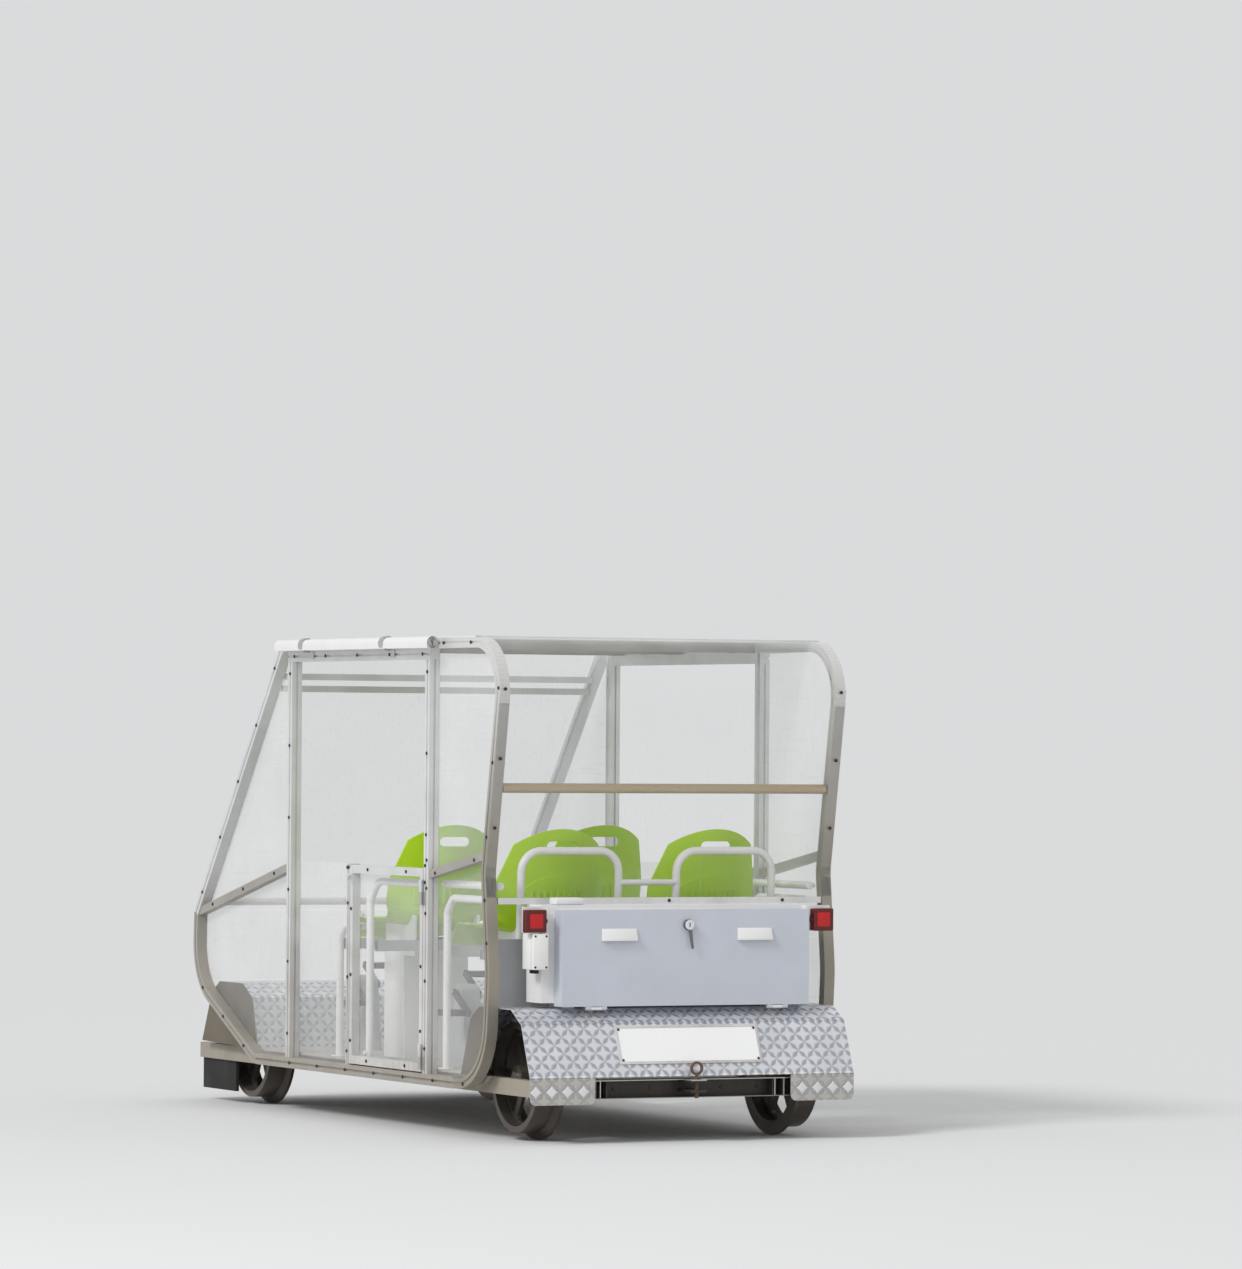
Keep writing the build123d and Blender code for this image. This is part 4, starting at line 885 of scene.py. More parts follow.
def tube(name: str, corners: Sequence[Point], bend: float, radius: float) -> bpy.types.Object:
    """Add a round tube along straight runs with rounded bends, closed at its ends.

    Args:
        name: the piece's name.
        corners: the corners of its middle line.
        bend: the radius of its bends.
        radius: the radius of the tube.

    Returns:
        The new piece.
    """
    deselect()
    points = [Vector(corner) for corner in corners]
    bpy.ops.mesh.primitive_plane_add(size=radius, location=points[0])
    line = new_piece(name)
    bpy.ops.object.mode_set(mode="EDIT")
    bpy.ops.mesh.select_all(action="SELECT")
    bpy.ops.mesh.merge(type="CENTER")
    for start, end in zip(points, points[1:]):
        bpy.ops.mesh.extrude_region_move(TRANSFORM_OT_translate={"value": end - start})
    bpy.ops.object.mode_set(mode="OBJECT")
    for before, corner, after in zip(points, points[1:], points[2:]):
        turn = (corner - before).angle(after - corner)
        offset = bend * math.tan(turn / 2)
        for vertex in line.data.vertices:
            vertex.select = (vertex.co - corner).length < radius / 10
        bpy.ops.object.mode_set(mode="EDIT")
        bpy.ops.mesh.bevel(
            offset_type="OFFSET", offset=offset, segments=BEND_SEGMENTS, profile=0.5, affect="VERTICES")
        bpy.ops.mesh.select_all(action="DESELECT")
        bpy.ops.object.mode_set(mode="OBJECT")
    bpy.ops.object.convert(target="CURVE")
    line = bpy.context.active_object
    line.data.bevel_depth = radius
    line.data.bevel_resolution = TUBE_RESOLUTION
    line.data.use_fill_caps = True
    bpy.ops.object.convert(target="MESH")
    return bpy.context.active_object


def copies(master: bpy.types.Object, places: Sequence[Matrix]) -> list[bpy.types.Object]:
    """Copy a piece to many places, each copy with its own mesh, and remove the first.

    Args:
        master: the piece, made at the origin.
        places: where each copy goes.

    Returns:
        The copies.
    """
    made = []
    for place in places:
        other = master.copy()
        other.data = master.data.copy()
        other.data.transform(place)
        bpy.context.collection.objects.link(other)
        made.append(other)
    bpy.data.objects.remove(master)
    return made


def ring(name: str, size: Point, band: float, edge: float = 0.0008) -> bpy.types.Object:
    """Add a flat rectangular ring round the origin, from Z = 0 upwards.

    Args:
        name: the piece's name.
        size: its width along X, its height along Y and its depth along Z.
        band: how wide its band is.
        edge: the width of the rounding.

    Returns:
        The new piece.
    """
    deselect()
    bpy.ops.mesh.primitive_cube_add(size=1.0, location=(0.0, 0.0, size[2] / 2), scale=size)
    piece = new_piece(name)
    pick(piece, "FACE", lambda face: abs(face.normal.z) > SQUARE_ON)
    bpy.ops.mesh.inset(thickness=band, use_individual=True)
    bpy.ops.mesh.bridge_edge_loops()
    leave()
    return rounded(piece, edge)


def joined(name: str, pieces: Sequence[bpy.types.Object]) -> bpy.types.Object:
    """Join pieces into one.

    Args:
        name: the name of the whole.
        pieces: the pieces.

    Returns:
        The whole.
    """
    deselect()
    for piece in pieces:
        piece.select_set(True)
    bpy.context.view_layer.objects.active = pieces[0]
    bpy.ops.object.join()
    pieces[0].name = name
    return pieces[0]


def facing(place: Point, outward: Point) -> Matrix:
    """Return the matrix that puts a piece at a place, with its Z axis along a direction."""
    return Matrix.Translation(place) @ Vector(outward).to_track_quat("Z", "Y").to_matrix().to_4x4()


class Wardrobe:
    """The built finishes, and how they are put on pieces."""

    def __init__(self, frame: dict) -> None:
        """Build the finishes and keep the frame.
        """
        effects = Effects()
        self.materials = {name: finish.build(effects) for name, finish in FINISHES.items()}
        self.frame = frame

    def dress_solids(self) -> None:
        """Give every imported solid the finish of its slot."""
        for row in self.frame["record"]["subparts"]:
            finish = NODE_FINISHES.get(row["node"], row["material_slot"])
            self._put(self.frame["nodes"][row["node"]], self.materials[finish])

    @staticmethod
    def _put(piece: bpy.types.Object, material: bpy.types.Material) -> None:
        """Fill every material slot of an object.

        Args:
            piece: the object.
            material: the material.
        """
        if not piece.material_slots:
            piece.data.materials.append(material)
        for slot in piece.material_slots:
            slot.material = material

    def dress(
            self, piece: bpy.types.Object, slot: str, body: str, smooth: float = 35.0, finish: str = "",
    ) -> bpy.types.Object:
        """Finish a new piece.

        Args:
            piece: the piece.
            slot: the finish that it takes where no other finish is given.
            body: the body that it rides on.
            smooth: the angle in degrees under which edges are shaded smooth.
            finish: the finish, where it isn't the slot's own.

        Returns:
            The piece.
        """
        take(piece)
        bpy.ops.object.shade_smooth_by_angle(angle=math.radians(smooth))
        piece.data.materials.clear()
        piece.data.materials.append(self.materials[finish or slot])
        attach(piece, body)
        log.info("%s: %d faces on %s", piece.name, len(piece.data.polygons), body)
        return piece


@dataclass(frozen=True)
class Rail:
    """A guard rail inside a fixed panel: up from a foot plate, round a bend, then level to its end."""

    post: float
    end: float
    top: float


@dataclass
class GuardTubes:
    """The white guard tubes: hoops behind the seats, rails inside the panels and in the doors."""

    radius: float = 0.014
    stud_radius: float = 0.008
    foot_radius: float = 0.030
    foot_thickness: float = 0.005
    foot_edge: float = 0.0012
    foot_sides: int = 40
    hoop_half: float = 0.190
    hoop_lean: float = 0.020
    hoop_bend: float = 0.075
    tie_drop: float = 0.112
    tie_radius: float = 0.011
    pane_gap: float = 0.026
    rails: tuple[Rail, ...] = (Rail(0.1835, -0.0435, 0.715), Rail(-0.7665, -1.1615, 0.837))
    rail_bend: float = 0.040
    rail_corner: float = 0.05
    rail_stud_in: float = 0.010
    rear_rail_start: float = -0.7515
    rear_rail_end: float = -1.2115
    rear_rail_height: float = 0.887
    rear_stud_ins: tuple[float, float] = (0.020, 0.015)
    door_bend: float = 0.090
    door_pane_gap: float = 0.022
    door_post: float = -0.1205
    door_post_gap: float = 0.045
    slope_start: float = 0.060
    slope_drop: float = 0.130
    nose_out: float = 0.002
    back_stud_in: float = 0.018
    nose_stud_in: float = 0.008
    nose_stud_drop: float = 0.116
    low_stud_rise: float = 0.028

    def build(self, wardrobe: Wardrobe) -> None:
        """Make the tubes in place of the faceted ones.

        Args:
            wardrobe: the finishes.
        """
        self._hoops(wardrobe)
        self._rails(wardrobe)
        for hand, side in SIDES:
            self._door(wardrobe, hand, side)

    def _foot(self, place: Point) -> bpy.types.Object:
        """Return a round foot plate on the floor or hood under a tube."""
        top = (place[0], place[1], place[2] + self.foot_thickness)
        return bar("foot", place, top, self.foot_radius, self.foot_edge, self.foot_sides)

    def _hoops(self, wardrobe: Wardrobe) -> None:
        """Make the two hoops, their tie bar and their foot plates.

        Args:
            wardrobe: the finishes.
        """
        low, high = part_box("hoops")
        top = high.z - self.radius
        back = low.x + self.radius
        front = back + self.hoop_lean
        pieces = []
        middle = (high.y - low.y) / 2 - self.radius - self.hoop_half
        for _, side in SIDES:
            left, right = side * middle + self.hoop_half, side * middle - self.hoop_half
            route = ((front, right, low.z), (back, right, top), (back, left, top), (front, left, low.z))
            pieces.append(tube("hoop", route, self.hoop_bend, self.radius))
            pieces += [self._foot((front, y, low.z)) for y in (left, right)]
        reach = middle - self.hoop_half
        height = top - self.tie_drop
        pieces.append(bar("tie", (back, -reach, height), (back, reach, height), self.tie_radius))
        hoops = wardrobe.dress(joined("round_hoops", pieces), "white_coat", "car")
        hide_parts("hoops")

    def _rails(self, wardrobe: Wardrobe) -> None:
        """Make the rails inside the fixed panels, with their studs to the panes.

        Args:
            wardrobe: the finishes.
        """
        low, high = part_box("side_guards")
        face = high.y
        y = face - self.pane_gap
        start, end, height = self.rear_rail_start, self.rear_rail_end, self.rear_rail_height
        rear_studs = (start - self.rear_stud_ins[0], end + self.rear_stud_ins[1])
        pieces = []
        for _, side in SIDES:
            for rail in self.rails:
                post, top, corner = rail.post, rail.top, self.rail_corner
                route = ((post, side * y, low.z), (post, side * y, top - corner),
                         (post - corner, side * y, top), (rail.end, side * y, top))
                pieces.append(tube("rail", route, self.rail_bend, self.radius))
                pieces.append(self._foot((post, side * y, low.z)))
                pieces.append(self._stud(rail.end + self.rail_stud_in, side * y, side * face, top))
            ends = [(x, side * y, height) for x in (start, end)]
            pieces.append(bar("rear_rail", *ends, self.radius))
            pieces += [self._stud(x, side * y, side * face, height) for x in rear_studs]
        rails = wardrobe.dress(joined("round_side_guards", pieces), "white_coat", "car")
        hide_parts("side_guards")

    def _stud(self, x: float, y: float, face: float, height: float) -> bpy.types.Object:
        """Return a stud from a tube to the pane beside it."""
        return bar("stud", (x, y, height), (x, face, height), self.stud_radius)

    def _door(self, wardrobe: Wardrobe, hand: str, side: int) -> None:
        """Make the tube inside a door.

        Args:
            wardrobe: the finishes.
            hand: left or right, as the door's names have it.
            side: 1 on the left and -1 on the right.
        """
        low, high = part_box(f"{hand}_door_guard")
        face = high.y if side > 0 else low.y
        y = face - side * self.door_pane_gap
        top = high.z - self.radius
        post = self.door_post
        back, front = low.x, high.x
        nose = front - self.radius + self.nose_out
        route = ((back, y, top), (post - self.slope_start, y, top), (nose, y, top - self.slope_drop))
        pieces = [tube("door_rail", route, self.door_bend, self.radius)]
        head = (post, y, top - self.door_post_gap)
        pieces.append(bar("door_post", (post, y, low.z), head, self.radius))
        studs = (
            (back + self.back_stud_in, top),
            (nose - self.nose_stud_in, top - self.nose_stud_drop),
            (post, low.z + self.low_stud_rise),
        )
        for x, height in studs:
            pieces.append(self._stud(x, y, face, height))
        guard = wardrobe.dress(joined(f"round_{hand}_door_guard", pieces), "white_coat", f"{hand}_door")
        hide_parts(f"{hand}_door_guard")


@dataclass(frozen=True)
class Run:
    """A straight run of fixings in the side view, between two (x, z) points on a face at one |y|."""

    start: tuple[float, float]
    end: tuple[float, float]
    count: int
    face: float = 0.680

    def points(self) -> list[tuple[float, float]]:
        """Return the evenly spaced points of the run.

        Returns:
            Their X and Z, from the start to the end.
        """
        (x0, z0), (x1, z1) = self.start, self.end
        shares = [number / max(self.count - 1, 1) for number in range(self.count)]
        return [(x0 + (x1 - x0) * share, z0 + (z1 - z0) * share) for share in shares]

    def outward(self) -> Point:
        """Return the direction square to the run in the side view, on its left as it is walked.

        Returns:
            The direction, of length 1.
        """
        (x0, z0), (x1, z1) = self.start, self.end
        length = math.hypot(x1 - x0, z1 - z0)
        return ((z0 - z1) / length, 0.0, (x1 - x0) / length)


@dataclass
class Screws:
    """The dark round screws along the profiles, the clear sheets and the doors."""

    radius: float = 0.0062
    height: float = 0.0035
    sides: int = 12
    crown: float = 0.45
    side_runs: tuple[Run, ...] = (
        Run((-1.0600, 0.191), (0.4905, 0.191), 7),
        Run((0.5105, 0.300), (0.5105, 1.640), 6),
        Run((-0.7315, 0.300), (-0.7315, 0.780), 3),
        Run((-0.7315, 1.060), (-0.7315, 1.640), 3),
        Run((-0.7250, 0.890), (-0.7250, 0.950), 2),
        Run((-0.7380, 0.870), (-0.7380, 0.970), 2),
        Run((-0.0440, 0.260), (-0.0440, 0.800), 3),
        Run((-0.0510, 0.900), (-0.0370, 0.900), 2),
        Run((-0.0510, 0.930), (-0.0370, 0.930), 2),
        Run((-0.6900, 1.7035), (0.4705, 1.7035), 5),
        Run((0.9315, 0.2345), (1.3400, 0.4400), 3),
        Run((1.3515, 0.8045), (0.6585, 1.6605), 5),
        Run((-1.2495, 0.690), (-1.2305, 0.840), 2),
        Run((-1.2415, 1.060), (-1.3335, 1.580), 3),
        Run((-1.1000, 1.7415), (-0.8700, 1.7415), 2),
        Run((0.6600, 0.892), (1.2600, 0.761), 3, 0.675),
        Run((-0.8000, 0.925), (-1.1300, 0.978), 2, 0.675),
    )
    sheet_runs: tuple[Run, ...] = (
        Run((0.6931, 1.6541), (1.3335, 0.8620), 4, 0.660),
        Run((-1.2669, 1.0924), (-1.3092, 1.3343), 2, 0.660),
        Run((-1.3463, 1.5772), (-1.3480, 1.5870), 1, 0.660),
    )
    door_runs: tuple[Run, ...] = (
        Run((-0.6940, 0.360), (-0.6940, 0.820), 3),
        Run((-0.0740, 0.300), (-0.0740, 0.780), 3),
        Run((-0.5600, 0.925), (-0.2200, 0.925), 2),
        Run((-0.5600, 0.231), (-0.2200, 0.231), 2),
    )
    strip_face: float = -1.2475
    strip_height: float = 0.837
    strip_places: tuple[float, ...] = (-0.480, -0.030, 0.330)
    web_face: float = -1.4465
    web_height: float = 0.188
    web_places: tuple[float, ...] = (-0.280, -0.140, 0.140, 0.280)

    def head(self) -> bpy.types.Object:
        """Return a button-head screw at the origin, with its head along Z.

        Returns:
            The screw.
        """
        deselect()
        middle = (0.0, 0.0, self.height / 2)
        bpy.ops.mesh.primitive_cylinder_add(
            vertices=self.sides, radius=self.radius, depth=self.height, location=middle)
        screw = new_piece("screw")
        pick(screw, "FACE", lambda face: face.normal.z > SQUARE_ON)
        bpy.ops.mesh.bevel(offset=self.height * self.crown, segments=2, affect="EDGES")
        leave()
        return screw

    def build(self, wardrobe: Wardrobe) -> None:
        """Set the screws of the body and of each door.

        Args:
            wardrobe: the finishes.
        """
        places = []
        for _, side in SIDES:
            for run in self.side_runs:
                places += [facing((x, side * run.face, z), (0.0, side, 0.0)) for x, z in run.points()]
            for run in self.sheet_runs:
                places += [facing((x, side * run.face, z), run.outward()) for x, z in run.points()]
        places += [facing((self.strip_face, y, self.strip_height), BACKWARDS) for y in self.strip_places]
        places += [facing((self.web_face, y, self.web_height), BACKWARDS) for y in self.web_places]
        body = joined("profile_screws", copies(self.head(), places))
        wardrobe.dress(body, "dark_steel", "car", FIXING_SMOOTH, "fixing")
        for hand, side in SIDES:
            places = []
            for run in self.door_runs:
                places += [facing((x, side * run.face, z), (0.0, side, 0.0)) for x, z in run.points()]
            door = joined(f"{hand}_door_screws", copies(self.head(), places))
            wardrobe.dress(door, "dark_steel", f"{hand}_door", FIXING_SMOOTH, "fixing")


@dataclass
class PlateFrame:
    """The thin grey frame and the four screws of the blank plate on the hood."""

    foot: Point = (-1.5125, 0.0, 0.231)
    head: Point = (-1.4365, 0.0, 0.415)
    climb: float = 0.118
    width: float = 0.559
    height: float = 0.144
    band: float = 0.010
    depth: float = 0.0045
    screw_in: float = 0.0155
    screw_lift: float = 0.002
    screw_radius: float = 0.0045
    screw_height: float = 0.0025

    def build(self, wardrobe: Wardrobe) -> None:
        """Make the frame round the plate and the screws in its corners.

        Args:
            wardrobe: the finishes.
        """
        foot, head = Vector(self.foot), Vector(self.head)
        along = (head - foot).normalized()
        outward = along.cross(Vector((0.0, 1.0, 0.0)))
        place = facing(foot + along * self.climb, outward)
        frame = ring("plate_frame", (self.width, self.height, self.depth), self.band)
        frame.data.transform(place)
        wardrobe.dress(frame, "frame_aluminium", "car")
        half_width, half_height = self.width / 2 - self.screw_in, self.height / 2 - self.screw_in
        spots = []
        for across in (-1, 1):
            for up in (-1, 1):
                corner = (across * half_width, up * half_height, self.screw_lift)
                spots.append(place @ Matrix.Translation(corner))
        screw = Screws(radius=self.screw_radius, height=self.screw_height).head()
        screws = joined("plate_screws", copies(screw, spots))
        wardrobe.dress(screws, "dark_steel", "car", FIXING_SMOOTH, "fixing")


@dataclass
class Lips:
    """The bright lozenges that stand out on the hood's two turned-down lips."""

    face: float = -1.5125
    height: float = 0.183
    first: float = 0.427
    spacing: float = 0.061
    count: int = 4
    reach: float = 0.0215
    top_share: float = 0.8
    rise: float = 0.0018
    edge: float = 0.0008

    def build(self, wardrobe: Wardrobe) -> None:
        """Make the lozenges.

        Args:
            wardrobe: the finishes.
        """
        deselect()
        bpy.ops.mesh.primitive_cone_add(
            vertices=4, radius1=self.reach, radius2=self.reach * self.top_share, depth=self.rise,
            location=(0.0, 0.0, self.rise / 2))
        master = rounded(new_piece("lozenge"), self.edge)
        places = []
        for _, side in SIDES:
            for number in range(self.count):
                y = side * (self.first + number * self.spacing)
                places.append(facing((self.face, y, self.height), BACKWARDS))
        lozenges = joined("lip_lozenges", copies(master, places))
        wardrobe.dress(lozenges, "tread_plate", "car", finish="lozenge_steel")


@dataclass
class TailLamps:
    """The two square red lamps: a dark red housing, and a lens with a raised window."""

    middle: float = 0.563
    lens_depth: float = 0.016
    window: float = 0.052
    window_rise: float = 0.0022
    window_edge: float = 0.0045
    housing_in: float = 0.001
    housing_edge: float = 0.003
    rim_gap: float = 0.0015
    rim_edge: float = 0.005
    boss_radius: float = 0.009
    boss_in: float = 0.006
    boss_length: float = 0.012

    def build(self, wardrobe: Wardrobe) -> None:
        """Make both lamps in place of the plain blocks.

        Args:
            wardrobe: the finishes.
        """
        low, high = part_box("tail_lamps")
        half = (high.z - low.z) / 2
        height = (low.z + high.z) / 2
        back = low.x + self.window_rise
        seam = back + self.lens_depth
        inset, inner = self.housing_in, self.window / 2
        housings, lenses = [], []
        for _, side in SIDES:
            y = side * self.middle
            housings.append(block(
                "housing", (seam, y - half + inset, low.z + inset),
                (high.x, y + half - inset, high.z - inset), self.housing_edge))
            housings.append(block(
                "rim", (back, y - half, low.z), (seam - self.rim_gap, y + half, high.z), self.rim_edge))
            lenses.append(block(
                "window", (low.x, y - inner, height - inner), (seam, y + inner, height + inner),
                self.window_edge))
            ahead = y - side * (half - self.boss_in)
            housings.append(bar(
                "boss", (seam, ahead, height), (seam, ahead - side * self.boss_length, height),
                self.boss_radius))
        wardrobe.dress(joined("lamp_windows", lenses), "lamp_red", "car")
        housing = joined("lamp_housings", housings)
        wardrobe.dress(housing, "lamp_red", "car", finish="lamp_housing")
        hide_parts("tail_lamps")


@dataclass
class JunctionBox:
    """The white cable box under the left lamp, and the low cover on the cabinet's top."""

    height: float = 0.126
    depth: float = 0.090
    edge: float = 0.004
    lid_depth: float = 0.022
    seam: float = 0.002
    inset: float = 0.003
    neck_edge: float = 0.0005
    screw_in: float = 0.009
    screw_radius: float = 0.004
    screw_height: float = 0.0012
    gland_radius: float = 0.010
    gland_length: float = 0.014
    gland_edge: float = 0.002
    gland_sides: int = 12
    gland_places: tuple[float, ...] = (0.25, 0.70)
    cover_depth: float = 0.060
    cover_width: float = 0.109
    cover_edge: float = 0.006

    def build(self, wardrobe: Wardrobe) -> None:
        """Make the box and the cover in place of the plain blocks.

        Args:
            wardrobe: the finishes.
        """
        low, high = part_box("junction_box")
        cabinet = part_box("cabinet_body")[1]
        foot = Vector((low.x, cabinet.y, low.z))
        head = Vector((low.x + self.depth, high.y, low.z + self.height))
        split = foot.x + self.lid_depth
        rim, inset, overlap = split + self.seam, self.inset, self.seam / 2
        pieces = [
            block("case", (rim, foot.y, foot.z), head, self.edge),
            block("lid", foot, (split, head.y, head.z), self.edge),
            block("neck", (split - overlap, foot.y + inset, foot.z + inset),
                  (rim + overlap, head.y - inset, head.z - inset), self.neck_edge),
            block("cover", (high.x - self.cover_depth, low.y, cabinet.z),
                  (high.x, low.y + self.cover_width, high.z), self.cover_edge),
        ]
        box = wardrobe.dress(joined("cable_box", pieces), "white_coat", "car")
        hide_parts("junction_box")
        spots = [facing((foot.x, y, z), BACKWARDS)
                 for y in (foot.y + self.screw_in, head.y - self.screw_in)
                 for z in (foot.z + self.screw_in, head.z - self.screw_in)]
        screw = Screws(radius=self.screw_radius, height=self.screw_height).head()
        screws = joined("cable_box_screws", copies(screw, spots))
        wardrobe.dress(screws, "dark_steel", "car", FIXING_SMOOTH, "fixing")
        self._glands(wardrobe, split, head.x, (foot.y + head.y) / 2, foot.z)

    def _glands(self, wardrobe: Wardrobe, back: float, front: float, middle: float, foot: float) -> None:
        """Make the rubber glands under the box.

        Args:
            wardrobe: the finishes.
            back: where the box's case starts behind.
            front: where it ends in front.
            middle: the box's middle across the car.
            foot: the box's underside.
        """
        glands = []
        for share in self.gland_places:
            x = back + (front - back) * share
            glands.append(bar(
                "gland", (x, middle, foot - self.gland_length), (x, middle, foot),
                self.gland_radius, self.gland_edge, self.gland_sides))
        wardrobe.dress(joined("cable_glands", glands), "black_rubber", "car")


@dataclass
class CabinetFittings:
    """The tray door's two folded handles and its lock with the lever, and the flange over the door."""

    places: tuple[float, ...] = (0.246, -0.285)
    width: float = 0.134
    height: float = 0.043
    reach: float = 0.015
    lip: float = 0.008
    sheet: float = 0.0025
    drop: float = 0.064
    handle_edge: float = 0.0008
    lock_y: float = -0.022
    lock_drop: float = 0.052
    lock_radius: float = 0.0185
    lock_length: float = 0.016
    lock_edge: float = 0.0012
    lock_sides: int = 48
    ring_rise: float = 0.003
    ring_sunk: float = 0.001
    ring_in: float = 0.001
    ring_width: float = 0.0055
    dish_depth: float = 0.0018
    core_gap: float = 0.001
    core_rise: float = 0.0012
    slot_width: float = 0.0040
    slot_height: float = 0.014
    slot_front: float = 0.0002
    slot_back: float = 0.002
    slot_edge: float = 0.0002
    lever_length: float = 0.085
    lever_width: float = 0.014
    lever_out: float = 0.0005
    lever_in: float = 0.004
    lever_edge: float = 0.0012
    lever_foot: float = 0.003
    lever_tip: float = 0.62
    lever_lean: float = 9.0
    flange_drop: float = 0.012
    flange_thickness: float = 0.003
    flange_gap: float = 0.0005
    flange_edge: float = 0.0004
    wall: float = 0.0075

    def build(self, wardrobe: Wardrobe) -> None:
        """Make the fittings in place of the plain ones.

        Args:
            wardrobe: the finishes.
        """
        low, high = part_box("cabinet_door")
        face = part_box("cabinet_handles")[1].x
        top = high.z - self.drop
        handles = joined("folded_handles", [self._handle(face, y, top) for y in self.places])
        wardrobe.dress(handles, "white_coat", "cabinet_lid")
        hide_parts("cabinet_handles")
        self._lock(wardrobe, face, high.z - self.lock_drop)
        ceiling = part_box("cabinet_body")[1].z - self.wall
        back = high.x + self.flange_gap
        flange = block(
            "tray_flange", (back, low.y - self.flange_gap, high.z - self.flange_drop),
            (back + self.flange_thickness, high.y - self.wall, ceiling), self.flange_edge)
        wardrobe.dress(flange, "white_coat", "car")

    def _handle(self, face: float, y: float, top: float) -> bpy.types.Object:
        """Return a handle: a sloping face with a turned-down lip, hollow underneath.

        Args:
            face: the door's face.
            y: the handle's middle.
            top: its top edge.

        Returns:
            The handle.
        """
        deselect()
        low = Vector((face - self.reach, y - self.width / 2, top - self.height + self.lip))
        high = Vector((face, y + self.width / 2, top))
        bpy.ops.mesh.primitive_cube_add(size=1.0, location=(low + high) / 2, scale=high - low)
        piece = new_piece("handle")
        behind, below = face - self.sheet, top - self.sheet
        outer = [vertex.co.x < behind and vertex.co.z > below for vertex in piece.data.vertices]
        pick(piece, "EDGE", lambda edge: all(outer[number] for number in edge.vertices))
        bpy.ops.transform.translate(value=(self.reach - self.sheet, 0.0, 0.0))
        leave()
        pick(piece, "FACE", lambda side: side.normal.z < -SQUARE_ON)
        bpy.ops.mesh.extrude_region_move(TRANSFORM_OT_translate={"value": (0.0, 0.0, -self.lip)})
        bpy.ops.mesh.inset(thickness=self.sheet)
        bpy.ops.mesh.extrude_region_move(TRANSFORM_OT_translate={"value": (0.0, 0.0, self.lip)})
        leave()
        return rounded(piece, self.handle_edge)

    def _lock(self, wardrobe: Wardrobe, face: float, height: float) -> None:
        """Make the lock's barrel, its bright ring, a black block that paints the shade of the key slot,
        and its lever.

        Args:
            wardrobe: the finishes.
            face: the door's face.
            height: the lock's middle.
        """
        y, front = self.lock_y, face - self.lock_length
        barrel = bar(
            "barrel", (face, y, height), (front, y, height), self.lock_radius, self.lock_edge,
            self.lock_sides)
        lever = self._lever(front, height)
        lock = joined("lock_barrel", [barrel, lever])
        wardrobe.dress(lock, "white_coat", "cabinet_lid", finish="lock_steel")
        tip = front - self.ring_rise
        cap = bar(
            "lock_ring", (front + self.ring_sunk, y, height), (tip, y, height),
            self.lock_radius - self.ring_in, self.lock_edge, self.lock_sides)
        pick(cap, "FACE", lambda side: side.normal.x < -SQUARE_ON)
        bpy.ops.mesh.inset(thickness=self.ring_width)
        bpy.ops.mesh.extrude_region_move(TRANSFORM_OT_translate={"value": (self.dish_depth, 0.0, 0.0)})
        bpy.ops.mesh.inset(thickness=self.core_gap)
        bpy.ops.mesh.extrude_region_move(TRANSFORM_OT_translate={"value": (-self.core_rise, 0.0, 0.0)})
        leave()
        wardrobe.dress(cap, "white_coat", "cabinet_lid", finish="lock_chrome")
        # painted shade: the key slot is a black block standing on the core, dark in place of the shade
        # inside a slot
        half_width, half_height = self.slot_width / 2, self.slot_height / 2
        keyhole = block(
            "keyhole", (tip + self.slot_front, y - half_width, height - half_height),
            (tip + self.slot_back, y + half_width, height + half_height), self.slot_edge)
        wardrobe.dress(keyhole, "black_rubber", "cabinet_lid")

    def _lever(self, front: float, height: float) -> bpy.types.Object:
        """Return the lever that hangs from the lock, narrower at its tip and leaning a little.

        Args:
            front: the barrel's face.
            height: the lock's middle.

        Returns:
            The lever.
        """
        half, y = self.lever_width / 2, self.lock_y
        foot = height - self.lever_length
        lever = block(
            "lever", (front - self.lever_out, y - half, foot),
            (front + self.lever_in, y + half, height - self.lock_radius / 2), self.lever_edge)
        lower = [vertex.co.z < foot + self.lever_foot for vertex in lever.data.vertices]
        pick(lever, "EDGE", lambda edge: all(lower[number] for number in edge.vertices))
        bpy.ops.transform.resize(value=(1.0, self.lever_tip, 1.0), center_override=(front, y, foot))
        bpy.ops.mesh.select_all(action="SELECT")
        lean = math.radians(self.lever_lean)
        bpy.ops.transform.rotate(value=lean, orient_axis="X", center_override=(front, y, height))
        leave()
        return lever


@dataclass
class BumperRibs:
    """The bright upright ribs welded inside the rear bumper's channel."""

    back: float = -1.4905
    front: float = -1.4465
    low: float = 0.1580
    high: float = 0.2170
    thickness: float = 0.004
    edge: float = 0.0006
    places: tuple[float, ...] = (0.352, -0.330, -0.366)

    def build(self, wardrobe: Wardrobe) -> None:
        """Make the ribs.

        Args:
            wardrobe: the finishes.
        """
        half = self.thickness / 2
        ribs = [
            block("rib", (self.back, y - half, self.low), (self.front, y + half, self.high), self.edge)
            for y in self.places]
        wardrobe.dress(joined("bumper_ribs", ribs), "bright_steel", "car")


